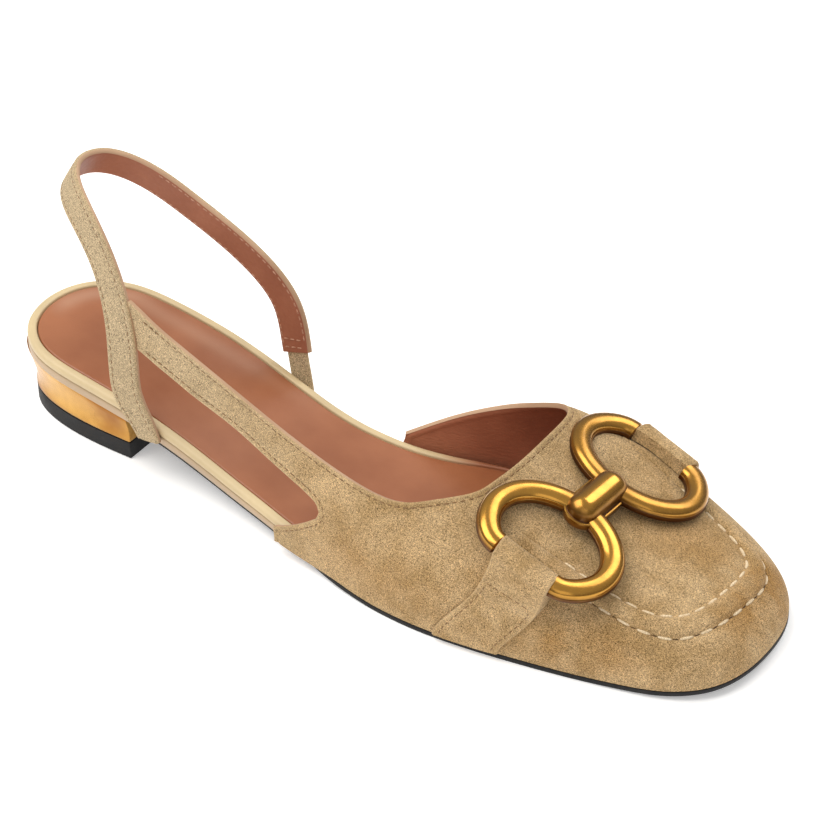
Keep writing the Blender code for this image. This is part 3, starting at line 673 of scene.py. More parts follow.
@dataclass(frozen=True)
class SuedeFinish:
    """Tan suede with a speckled nap that browns where it is brushed down, and painted light that makes it
    paler and greyer towards the back.
    """

    pale: Colour = (0.572, 0.404, 0.219)
    base: Colour = (0.388, 0.254, 0.115)
    rust: Colour = (0.350, 0.190, 0.060)
    painted_light: Colour = (0.470, 0.366, 0.228)
    cells: float = 4500.0

    def material(self, groups: Groups, name: str) -> bpy.types.Material:
        """Make the material."""
        material, sheet, shader = principled(name, Roughness=0.96, Specular_IOR_Level=0.15, Sheen_Weight=0.25,
                                             Sheen_Roughness=0.45, Sheen_Tint=(1.0, 0.86, 0.66, 1.0))
        nap = sheet.add("Group", {"Cells": self.cells, "Cloud Cells": 95.0}, node_tree=groups.nap).outputs
        brushed = sheet.math("MULTIPLY", nap["Cloud"], 0.86)
        cloudy = sheet.mix(brushed, full(self.base), full(self.pale))
        patch = sheet.noise(52.0, 4.0, 0.6)
        rusty = sheet.math("MULTIPLY", sheet.span(patch, 0.32, 0.56), sheet.attribute("warm"), clamp=True)
        warmed = sheet.mix(rusty, cloudy, full(self.rust))
        # Painted light: paler, greyer suede by the share that a piece notes, as if lit from behind.
        warmed = sheet.mix(sheet.attribute("painted_light"), warmed, full(self.painted_light))
        speck = sheet.span(nap["Speckle"], 0.0, 1.0, 0.04, 1.88)
        grey = sheet.grey(speck)
        spotted = sheet.mix(1.0, warmed, grey, "MULTIPLY")
        edge = sheet.span(sheet.attribute("edge"), 0.2, 1.1, 0.35, 0.0)
        final = sheet.mix(edge, spotted, full(self.pale))
        sheet.wire(shader, Base_Color=final)
        sheet.bump(shader, 0.55, 0.00035, nap["Height"])
        return material


@dataclass(frozen=True)
class LeatherFinish:
    """Smooth leather with pores, mottling and fine wrinkles, painted shade in the wrinkle troughs, and a
    painted highlight where a piece notes one.
    """

    pale: Colour
    deep: Colour
    rough: float
    wrinkle: float = 0.0
    stretch: tuple[float, float, float] = (1.0, 1.0, 1.0)
    coat: float = 0.0
    highlight_colour: Colour = (0.56, 0.36, 0.25)
    cells: float = 900.0

    def material(self, groups: Groups, name: str) -> bpy.types.Material:
        """Make the material."""
        material, sheet, shader = principled(name, Coat_Weight=self.coat, Coat_Roughness=0.35,
                                             Specular_IOR_Level=0.4)
        grain = sheet.add("Group", {"Cells": self.cells, "Cloud Cells": 45.0}, node_tree=groups.grain).outputs
        tone = sheet.mix(grain["Mottle"], full(self.deep), full(self.pale))
        # Painted highlight: lighter towards the highlight colour by the share that a piece notes.
        tone = sheet.mix(sheet.attribute("painted_highlight"), tone, full(self.highlight_colour))
        height = sheet.math("MULTIPLY", grain["Height"], 0.35)
        if self.wrinkle > 0:
            lines = sheet.noise(420.0, 3.0, 0.6, sheet.place(self.stretch))
            fold = sheet.span(lines, 0.35, 0.65)
            height = sheet.math("ADD", height, sheet.math("MULTIPLY", fold, self.wrinkle))
            # Painted shade: the wrinkle troughs darken towards the deep colour.
            dim = sheet.span(fold, 0.0, 1.0, 0.25, 0.0)
            tone = sheet.mix(dim, tone, full(self.deep))
        sheet.wire(shader, Base_Color=tone)
        rough = sheet.span(grain["Mottle"], 0.0, 1.0, self.rough - 0.05, self.rough + 0.07)
        sheet.wire(shader, Roughness=rough)
        sheet.bump(shader, 0.35, 0.0002, height)
        return material


@dataclass(frozen=True)
class RimFinish:
    """Cream leather of the footbed's edge: pale roll above, a darker rosy grey band below a crease that is
    partly its own tone and partly painted shade of the side, and a painted shadow line along the crease.
    """

    roll: Colour = (0.63, 0.495, 0.285)
    band: Colour = (0.50, 0.365, 0.235)
    crease: Colour = (0.27, 0.165, 0.075)
    wrap: Colour = (0.385, 0.142, 0.066)

    def material(self, groups: Groups, name: str) -> bpy.types.Material:
        """Make the material."""
        material, sheet, shader = principled(name, Specular_IOR_Level=0.45, Coat_Weight=0.08,
                                             Coat_Roughness=0.3)
        grain = sheet.add("Group", {"Cells": 1100.0, "Cloud Cells": 60.0}, node_tree=groups.grain).outputs
        drop = sheet.attribute("drop")
        # The band's darker rosy grey is partly its own colour and partly painted shade of the side.
        low = sheet.span(drop, 0.42, 0.55)
        tone = sheet.mix(low, full(self.roll), full(self.band))
        # Painted shade: a dark line along the crease.
        near = sheet.math("ABSOLUTE", sheet.math("SUBTRACT", drop, 0.47))
        line = sheet.span(near, 0.0, 0.075, 0.9, 0.0)
        tone = sheet.mix(line, tone, full(self.crease))
        tone = sheet.mix(sheet.attribute("cover"), tone, full(self.wrap))
        shade = sheet.span(grain["Mottle"], 0.0, 1.0, 0.90, 1.06)
        grey = sheet.grey(shade)
        sheet.wire(shader, Base_Color=sheet.mix(1.0, tone, grey, "MULTIPLY"))
        rough = sheet.span(grain["Mottle"], 0.0, 1.0, 0.42, 0.55)
        sheet.wire(shader, Roughness=rough)
        sheet.bump(shader, 0.2, 0.00015, grain["Height"])
        return material


@dataclass(frozen=True)
class MetalFinish:
    """Gold plating darkened by painted shade and dark reflections that a piece notes, and by random patches,
    with brushed, uneven gloss.
    """

    bright: Colour
    dark: Colour
    rough: float
    patches: float = 0.25
    cells: float = 160.0
    coat: float = 0.0

    def material(self, name: str) -> bpy.types.Material:
        """Make the material."""
        material, sheet, shader = principled(name, Metallic=1.0, Coat_Weight=self.coat, Coat_Roughness=0.14,
                                             Coat_IOR=1.5)
        patch = sheet.noise(self.cells, 3.0, 0.55)
        fine = sheet.noise(2200.0, 2.0, 0.5)
        # Painted shade and dark reflections noted on the points, mixed with random darker patches.
        painted_shade = sheet.attribute("painted_shade")
        darkening = sheet.math("ADD", painted_shade, sheet.span(patch, 0.35, 0.72, 0.0, self.patches), clamp=True)
        tone = sheet.mix(darkening, full(self.bright), full(self.dark))
        sheet.wire(shader, Base_Color=tone)
        uneven = sheet.span(patch, 0.3, 0.7, self.rough - 0.04, self.rough + 0.07)
        rough = sheet.math("ADD", uneven, sheet.math("MULTIPLY", painted_shade, 0.2))
        sheet.wire(shader, Roughness=rough)
        sheet.bump(shader, 0.08, 0.00005, fine)
        return material


@dataclass(frozen=True)
class RubberFinish:
    """Matte black rubber with dusty scuffs."""

    base: Colour = (0.009, 0.009, 0.010)
    scuff: Colour = (0.036, 0.033, 0.030)

    def material(self, groups: Groups, name: str) -> bpy.types.Material:
        """Make the material."""
        material, sheet, shader = principled(name, Specular_IOR_Level=0.35)
        grain = sheet.add("Group", {"Cells": 1600.0, "Cloud Cells": 140.0}, node_tree=groups.grain).outputs
        dust = sheet.span(grain["Mottle"], 0.45, 1.0, 0.0, 0.5)
        sheet.wire(shader, Base_Color=sheet.mix(dust, full(self.base), full(self.scuff)))
        rough = sheet.span(grain["Mottle"], 0.0, 1.0, 0.55, 0.75)
        sheet.wire(shader, Roughness=rough)
        sheet.bump(shader, 0.3, 0.0002, grain["Height"])
        return material


@dataclass(frozen=True)
class ThreadFinish:
    """Twisted sewing thread."""

    light: Colour
    dark: Colour

    def material(self, name: str) -> bpy.types.Material:
        """Make the material."""
        material, sheet, shader = principled(name, Specular_IOR_Level=0.3, Sheen_Weight=0.2)
        ply = sheet.noise(2600.0, 1.0, 0.5)
        share = sheet.span(ply, 0.38, 0.62)
        sheet.wire(shader, Base_Color=sheet.mix(share, full(self.dark), full(self.light)))
        sheet.wire(shader, Roughness=sheet.span(ply, 0.3, 0.7, 0.65, 0.85))
        sheet.bump(shader, 0.4, 0.0002, ply)
        return material


class Palette:
    """All materials of the shoe."""

    def __init__(self) -> None:
        """Make the shared groups and each material."""
        groups = Groups()
        self.suede = SuedeFinish().material(groups, "tan_suede")
        self.lining = LeatherFinish(pale=(0.450, 0.172, 0.092), deep=(0.310, 0.102, 0.052), rough=0.50,
                                    wrinkle=0.8, stretch=(1.0, 0.35, 3.4)).material(groups, "lining_leather")
        sling = LeatherFinish(pale=(0.420, 0.165, 0.092), deep=(0.280, 0.095, 0.050), rough=0.48,
                              wrinkle=0.8, stretch=(1.6, 1.6, 1.6))
        self.sling_lining = sling.material(groups, "sling_lining_leather")
        self.edge = LeatherFinish(pale=(0.54, 0.355, 0.225), deep=(0.40, 0.24, 0.14),
                                  rough=0.75).material(groups, "cut_edge_leather")
        self.sock = LeatherFinish(pale=(0.372, 0.135, 0.056), deep=(0.278, 0.092, 0.036), rough=0.34,
                                  coat=0.25, cells=1300.0).material(groups, "sock_leather_smooth")
        self.rim = RimFinish().material(groups, "cream_rim_leather")
        self.rubber = RubberFinish().material(groups, "black_rubber_matte")
        self.heel = MetalFinish(bright=(0.70, 0.415, 0.115), dark=(0.36, 0.15, 0.03), rough=0.20, patches=0.6,
                                cells=75.0).material("heel_gold_plate")
        self.ring = MetalFinish(bright=(0.53, 0.265, 0.043), dark=(0.09, 0.032, 0.006), rough=0.20,
                                coat=0.25).material("ring_gold_plate")
        self.cream = ThreadFinish((0.84, 0.70, 0.48), (0.62, 0.46, 0.27)).material("cream_thread")
        self.tan_thread = ThreadFinish((0.30, 0.175, 0.075), (0.16, 0.085, 0.034)).material("tan_thread")
        self.rosy_thread = ThreadFinish((0.62, 0.36, 0.24), (0.40, 0.20, 0.12)).material("rosy_thread")
        # Near-black beads in the needle holes are painted shade.
        self.hole = ThreadFinish((0.080, 0.040, 0.016), (0.030, 0.014, 0.006)).material("needle_hole_shade")


@dataclass
class SoleForm:
    """Plan outline and side profile of the sole, in millimetres from the back of the footbed."""

    length: float = 250.0
    toe_tip_y: float = 1.5
    wing_start: float = 108.0
    wing_full: float = 135.0
    forefoot_inset: float = 2.5
    samples: int = 2401

    def __post_init__(self) -> None:
        """Work out the outline by its length, and the profile curves."""
        outer = [(x, -lateral) for x, lateral, _ in OUTLINE]
        inner = [(x, medial) for x, _, medial in OUTLINE]
        ring = [(0.0, 0.0)] + outer + [(self.length, self.toe_tip_y)] + inner[::-1]
        lap = 4
        chain = np.array(ring[-lap:] + ring + ring[:lap + 1])
        chord = distances(chain)
        fine = spline(chord, chain)(np.linspace(chord[lap], chord[lap + len(ring)], self.samples))
        self.points = fine
        self.reach = distances(fine)
        self.toe = self.reach[np.argmax(fine[:, 0])]
        self.lateral_run = -self.toe
        self.medial_run = self.reach[-1] - self.toe
        place = column(SOLE_PROFILE, 0)
        self.underside = monotone(place, column(SOLE_PROFILE, 1))
        self.rim_top = monotone(place, column(SOLE_PROFILE, 2))
        self.rim_width = monotone(place, column(SOLE_PROFILE, 3))

    def at(self, run: Any, inset: Any = 0.0) -> Array:
        """Plan point at a run from the toe tip (outer side negative), moved inward by the inset."""
        place = np.asarray(run, float) + self.toe
        step = 0.5

        def plain(spot: Any) -> Array:
            """Plan point on the outline itself."""
            spot = np.mod(spot, self.reach[-1])
            return np.stack([np.interp(spot, self.reach, self.points[:, 0]),
                             np.interp(spot, self.reach, self.points[:, 1])], axis=-1)

        ahead = plain(place + step) - plain(place - step)
        ahead /= np.linalg.norm(ahead, axis=-1, keepdims=True)
        inward = np.stack([-ahead[..., 1], ahead[..., 0]], axis=-1)
        return plain(place) + inward * np.asarray(inset, float)[..., None]

    def wing(self, x: Any) -> Any:
        """Zero where the footbed's rim is bare, one where the upper stands around it."""
        t = np.clip((np.asarray(x, float) - self.wing_start) / (self.wing_full - self.wing_start), 0, 1)
        return t * t * (3 - 2 * t)

    def run_at(self, x: float) -> float:
        """Run of the outer side at a place along the shoe."""
        half = self.samples // 2
        return float(np.interp(x, self.points[:half, 0], self.reach[:half] - self.toe))

    def slab(self, section: Callable[[float], Sequence[tuple[float, Callable]]], shares: Array) -> Array:
        """Closed loops across the sole.

        Args:
            section: Rows of inset and height function at a place along the shoe.
            shares: Places from the back (0) to the toe (1).

        Returns:
            Points by share and by place around the loop, the first repeated at its end.
        """
        loops = []
        for share in shares:
            sides = []
            for run in (self.lateral_run * (1 - share), self.medial_run * (1 - share)):
                x = float(self.at(run)[0])
                rows = []
                for inset, height in section(x):
                    spot = self.at(run, inset)
                    rows.append((spot[0], spot[1], float(height(spot[0]))))
                sides.append(rows)
            loop = sides[0] + sides[1][::-1]
            loops.append(loop + loop[:1])
        return np.array(loops)


@dataclass
class SoleUnit:
    """Outsole, wrapped footbed and leather sock."""

    form: SoleForm
    site: Site
    palette: Palette
    outsole_thick: float = 1.5
    outsole_back: float = 50.0
    outsole_inset: float = -0.1
    pocket: float = 1.9
    sock_thick: float = 1.3
    crease_depth: float = 0.3
    sock_columns: int = 36
    cover_start: float = 127.0
    cover_length: float = 13.0
    # Painted highlight: middle and radius of the heel-seat arc, its strength, the inner-side line, its
    # strength, and the width of both.
    seat_middle: float = 24.0
    seat_radius: float = 17.8
    seat_painted_highlight: float = 0.34
    side_line: float = 16.2
    side_painted_highlight: float = 0.24
    painted_highlight_width: float = 3.0

    def footbed(self) -> bpy.types.Object:
        """Platform with a rolled rim, a crease along its side and a pocket for the sock."""
        form = self.form

        def section(x: float) -> list[tuple[float, Callable]]:
            """Rows around the edge at a place along the shoe."""
            side = form.forefoot_inset * float(form.wing(x))
            rim = side + float(form.rim_width(x))
            bare = 1.0 - float(form.wing(x))
            tall = float(form.rim_top(x) - form.underside(x))

            def level(share: float) -> Callable:
                """Height function at a share of the side's height."""
                return lambda p: form.underside(p) + share * (form.rim_top(p) - form.underside(p))

            rows = [(side + 1.4, lambda p: form.underside(p)),
                    (side + 0.35, lambda p: form.underside(p) + 0.15),
                    (side + 0.05, lambda p: form.underside(p) + 0.6)]
            for share, dent in ((0.2, 0.0), (0.35, 0.0), (0.45, 0.1), (0.50, 0.8), (0.53, 1.0), (0.56, 0.8),
                                (0.61, 0.1), (0.68, -0.15), (0.76, -0.2)):
                rows.append((side + dent * self.crease_depth * bare, level(share)))
            turn = min(0.24 * tall, 1.3)
            wide = min(1.5, rim - side - 0.4)
            for k in range(1, 6):
                angle = 0.5 * math.pi * k / 5
                rows.append((side - 0.04 * bare * math.cos(angle) + wide * (1 - math.cos(angle)),
                             lambda p, a=angle: form.rim_top(p) - turn * (1 - math.sin(a))))
            rows += [(rim - 0.55, lambda p: form.rim_top(p) - 0.02),
                     (rim - 0.2, lambda p: form.rim_top(p) - 0.12),
                     (rim - 0.02, lambda p: form.rim_top(p) - 0.45),
                     (rim, lambda p: form.rim_top(p) - self.pocket)]
            return rows

        points = form.slab(section, ease(181))
        item = Bench.sheet("footbed_rim", self.site.metres(points))
        x, _, z = self.site.local(Bench.points(item))
        Bench.note(item, "drop", (form.rim_top(x) - z) / (form.rim_top(x) - form.underside(x)))
        Bench.note(item, "cover", ramp(x - self.cover_start, self.cover_length))
        Bench.weld(item)
        Bench.smooth(item, 50)
        Bench.wear(item, [self.palette.rim])
        return dress(item, Slot.RIM, "footbed")

    def sock(self) -> bpy.types.Object:
        """Leather sock with a painted highlight around the heel seat and along the inner side."""
        form = self.form
        low = self.pocket - GAP

        def rim(x: float) -> float:
            """Inset of the sock's edge."""
            return form.forefoot_inset * float(form.wing(x)) + float(form.rim_width(x)) + GAP

        def section(x: float) -> list[tuple[float, Callable]]:
            """Rows from the underside over the edge."""
            top = self.sock_thick - low
            rows = [(rim(x), lambda p: form.rim_top(p) - low)]
            for inset, fall in ((0.0, 0.55), (0.10, 0.25), (0.3, 0.08), (0.7, 0.0)):
                rows.append((rim(x) + inset, lambda p, f=fall: form.rim_top(p) + top - f))
            return rows

        points = form.slab(section, ease(121))
        middle = points.shape[1] // 2
        steps = np.linspace(0, 1, self.sock_columns + 1)[None, 1:-1, None]
        top = points[:, middle - 1:middle] * (1 - steps) + points[:, middle:middle + 1] * steps
        points = np.concatenate([points[:, :middle], top, points[:, middle:]], axis=1)
        item = Bench.sheet("leather_sock", self.site.metres(points))
        Bench.weld(item)
        x, y, _ = self.site.local(Bench.points(item))
        # Painted highlight: a pale arc round the heel seat and a streak along the inner side, where a cupped
        # seat would catch the light.
        around = np.hypot(x - self.seat_middle, y) - self.seat_radius
        seat = bell(around, self.painted_highlight_width) * ramp(30.0 - x, 10.0) * ramp(y + 6.0, 8.0)
        side = bell(y - self.side_line, self.painted_highlight_width) * ramp(x - 20.0, 10.0) * ramp(92.0 - x, 40.0)
        Bench.note(item, "painted_highlight", self.seat_painted_highlight * seat + self.side_painted_highlight * side)
        Bench.smooth(item, 50)
        Bench.wear(item, [self.palette.sock])
        return dress(item, Slot.SOCK, "insole_sock")

    def outsole(self) -> bpy.types.Object:
        """Thin rubber sole from the heel breast to the toe."""
        form = self.form
        half = form.samples // 2
        first = float(np.interp(self.outsole_back, form.points[:half, 0], form.reach[:half])) / form.toe

        def section(x: float) -> list[tuple[float, Callable]]:
            """Rows of the thin edge."""
            inset = self.outsole_inset + 1.2 * (1 - float(form.wing(x)))
            thick = self.outsole_thick
            return [(inset + 0.5, lambda p: form.underside(p) - GAP - thick),
                    (inset + 0.2, lambda p: form.underside(p) - GAP - thick + 0.08),
                    (inset, lambda p: form.underside(p) - GAP - thick + 0.4),
                    (inset, lambda p: form.underside(p) - GAP - 0.3),
                    (inset + 0.1, lambda p: form.underside(p) - GAP)]

        points = form.slab(section, first + (1 - first) * ease(141, tight_start=False))
        item = Bench.sheet("rubber_outsole", self.site.metres(points))
        Bench.weld(item, fill=True)
        Bench.smooth(item, 40)
        Bench.wear(item, [self.palette.rubber])
        return dress(item, Slot.RUBBER, "outsole")


@dataclass
class HeelUnit:
    """Gold heel block and its rubber lift."""

    form: SoleForm
    site: Site
    palette: Palette
    breast: float = 48.0
    lift: float = 5.7
    top: tuple[float, float, float] = (-0.6, 23.8, 2.9)
    low: tuple[float, float, float] = (1.2, 22.4, 2.7)
    count: int = 72

    def half(self, size: tuple[float, float, float], share: float) -> tuple[float, float]:
        """Plan point on half of a heel outline, from its back (0) to its breast (1)."""
        back, width, square = size
        angle = 0.5 * math.pi * share
        deep = self.breast - back
        return (self.breast - deep * max(math.cos(angle), 0.0) ** (2 / square),
                width * math.sin(angle) ** (2 / square))

    def slab(self, levels: Sequence[tuple[float, float, Callable]]) -> Array:
        """Closed loops from the back to the breast.

        Args:
            levels: Rows of share down, inset and height function.

        Returns:
            Points by share and by place around the loop.
        """
        loops = []
        for k in range(self.count + 1):
            share = k / self.count
            top = self.half(self.top, share)
            low = self.half(self.low, share)
            outer = []
            for down, inset, height in levels:
                x = top[0] + (low[0] - top[0]) * down
                y = top[1] + (low[1] - top[1]) * down
                keep = 1 - inset / 24.0
                x = self.breast - (self.breast - x) * keep
                y = y * keep
                outer.append((x, y, float(height(x))))
            loop = [(x, -y, z) for x, y, z in outer] + outer[::-1]
            loops.append(loop + loop[:1])
        return np.array(loops)

    def finish(self, name: str, levels: Sequence[tuple[float, float, Callable]]) -> bpy.types.Object:
        """Mesh of one layer of the heel, its breast closed and its edges eased."""
        item = Bench.sheet(name, self.site.metres(self.slab(levels)))
        Bench.weld(item, fill=True)
        Bench.modify(item, "BEVEL", width=0.35 * MM, segments=2, limit_method="ANGLE",
                     angle_limit=math.radians(50))
        Bench.smooth(item, 40)
        return item

    def build(self) -> None:
        """Block and lift."""
        base = self.lift + GAP

        def up(share: float) -> Callable[[float], float]:
            """Height function at a share of the block's own height."""
            return lambda x: base + share * (float(self.form.underside(x)) - GAP - base)

        block = self.finish("gold_heel_block", [(down, inset, up(share)) for down, inset, share in HEEL_SIDE])
        x, _, high = self.site.local(Bench.points(block))
        # Painted shade and dark reflections: darker bands at the back, near the breast, under the sole and
        # above the lift.
        brown = 0.9 * bell(x - 1.0, 6.0) + 0.5 * bell(x - 42.0, 8.0)
        brown += 0.5 * bell(high - self.form.underside(x), 1.3)
        brown += 0.6 * bell(high - self.lift, 1.2) * ramp(34.0 - x, 10.0)
        Bench.note(block, "painted_shade", np.clip(brown, 0, 0.95))
        Bench.wear(block, [self.palette.heel])
        dress(block, Slot.HEEL, "heel_block")
        tread = self.finish("rubber_heel_lift", [
            (0.95, 0.15, lambda x: self.lift),
            (0.95, 0.0, lambda x: self.lift - 0.15),
            (1.0, 0.0, lambda x: 0.6),
            (1.03, 0.0, lambda x: 0.25),
            (1.03, 0.3, lambda x: 0.0),
        ])
        Bench.wear(tread, [self.palette.rubber])
        dress(tread, Slot.RUBBER, "heel_lift")


@dataclass
class UpperForm:
    """Surface of the upper as ribs from the sole edge up to the topline."""

    sole: SoleForm
    overhang: float = 2.2
    seam_height: float = 1.1
    groove: float = 0.42
    cutout_front: float = 127.5
    cutout_front_z: float = 23.0
    cutout_back: float = 110.0
    cell: float = 0.5
    skin_rows: int = 101

    def __post_init__(self) -> None:
        """Work out the curves of the tables."""
        run = column(RIBS, 0)
        self.top = spline(run, np.array([row[1:4] for row in RIBS], float))
        self.heading = monotone(run, column(RIBS, 4))
        self.fall = monotone(run, column(RIBS, 5))
        self.reach = monotone(run, column(RIBS, 6))
        self.rise = monotone(run, column(RIBS, 7))
        self.flare = monotone(run, column(RIBS, 8))
        seam = column(SEAM, 0)
        self.seam_outer = monotone(seam, column(SEAM, 1))
        self.seam_inner = monotone(seam, column(SEAM, 2))
        self.seam_share = monotone(seam, column(SEAM, 3))
        self.low_edge = monotone(column(STRAP_LOW_EDGE, 0), column(STRAP_LOW_EDGE, 1))
        self.tail_edge = monotone(column(TAIL_TOP_EDGE, 0), column(TAIL_TOP_EDGE, 1))
        self.first_run = float(RIBS[0][0])
        self.last_run = float(RIBS[-1][0])
        self.front_run = self.sole.run_at(self.cutout_front)
        parts = np.linspace(0, 1, self.skin_rows)
        runs = np.arange(self.first_run, self.last_run + self.cell, self.cell)
        self.skin_points = np.array([self.rib(place, self.even(place, parts)[0]) for place in runs])
        self.skin_normals = grid_normals(self.skin_points)

    def rib(self, run: float, share: Any) -> Array:
        """Points of one rib at shares from the sole (0) to the topline (1)."""
        share = np.asarray(share, float)[..., None]
        x = float(self.sole.at(run)[0])
        spot = self.sole.at(run, -self.overhang * (1 - float(self.sole.wing(x))))
        foot = np.array([spot[0], spot[1], float(self.sole.underside(x))])
        top = self.top(np.array(float(run)))
        out = np.append(self.sole.at(run, -1.0) - self.sole.at(run, 0.0), 0.0)
        flare = math.radians(float(self.flare(run)))
        up = np.array([0.0, 0.0, 1.0])
        first = foot + float(self.rise(run)) * (math.cos(flare) * up + math.sin(flare) * out)
        heading = math.radians(float(self.heading(run)))
        fall = math.radians(float(self.fall(run)))
        away = np.array([math.cos(heading) * math.cos(fall), math.sin(heading) * math.cos(fall),
                         -math.sin(fall)])
        last = top + float(self.reach(run)) * away
        rest = 1 - share
        return (rest ** 3 * foot + 3 * rest ** 2 * share * first
                + 3 * rest * share ** 2 * last + share ** 3 * top)

    def even(self, run: float, parts: Any) -> tuple[Array, float]:
        """Shares that lie at parts of a rib's length, and that length."""
        fine = np.linspace(0, 1, 101)
        points = self.rib(run, fine)
        length = distances(points)
        return np.interp(np.asarray(parts, float) * length[-1], length, fine), float(length[-1])

    def at_height(self, run: float, height: float) -> float:
        """Share of the rib that reaches a height, or the topline."""
        fine = np.linspace(0, 1, 129)
        return float(np.interp(height, np.maximum.accumulate(self.rib(run, fine)[:, 2]), fine))

    def lift(self, run: float, part: Any, length: float) -> Array:
        """Height of the apron seam and its two grooves at parts of a rib's length."""
        part = np.asarray(part, float)
        outer = float(self.seam_outer(run))
        inner = float(self.seam_inner(run))
        strength = float(self.seam_share(run))
        t = np.clip((part - outer) / (inner - outer), 0, 1)
        band = 1 - np.abs(2 * t - 1) ** 3.2
        grooves = bell((part - outer) * length, 0.75) + 0.7 * bell((part - inner) * length, 0.7)
        return strength * (self.seam_height * band - self.groove * grooves)

    def skin(self, run: float, part: float) -> tuple[Array, Array]:
        """Point and outward normal at a run and a part of the rib's length, without the seam."""
        u = np.clip((run - self.first_run) / self.cell, 0, len(self.skin_points) - 1.001)
        v = np.clip(part, 0.0, 1.0) * (self.skin_rows - 1.001)
        i, j = int(u), int(v)
        a, b = u - i, v - j

        def blend(grid: Array) -> Array:
            """Value between the four grid points around the place."""
            return ((grid[i, j] * (1 - b) + grid[i, j + 1] * b) * (1 - a)
                    + (grid[i + 1, j] * (1 - b) + grid[i + 1, j + 1] * b) * a)

        normal = blend(self.skin_normals)
        return blend(self.skin_points), normal / np.linalg.norm(normal)

    def nearest(self, point: Array, low: float, high: float) -> tuple[float, float]:
        """Run, between two runs, and part of the rib's length that come closest to a point."""
        first = int((low - self.first_run) / self.cell)
        last = int((high - self.first_run) / self.cell)
        far = np.linalg.norm(self.skin_points[first:last] - point, axis=2)
        i, j = np.unravel_index(int(np.argmin(far)), far.shape)
        return self.first_run + (first + i) * self.cell, j / (self.skin_rows - 1)

    def side_point(self, x: float, z: float) -> tuple[Array, Array]:
        """Point and normal on the outer side wall at a place along the shoe and a height."""
        run = self.sole.run_at(x)
        share = self.at_height(run, z)
        spot = self.rib(run, share)
        along = self.rib(run + 0.5, share) - self.rib(run - 0.5, share)
        across = self.rib(run, min(share + 0.01, 1.0)) - self.rib(run, max(share - 0.01, 0.0))
        normal = np.cross(along, across)
        return spot, normal / np.linalg.norm(normal)


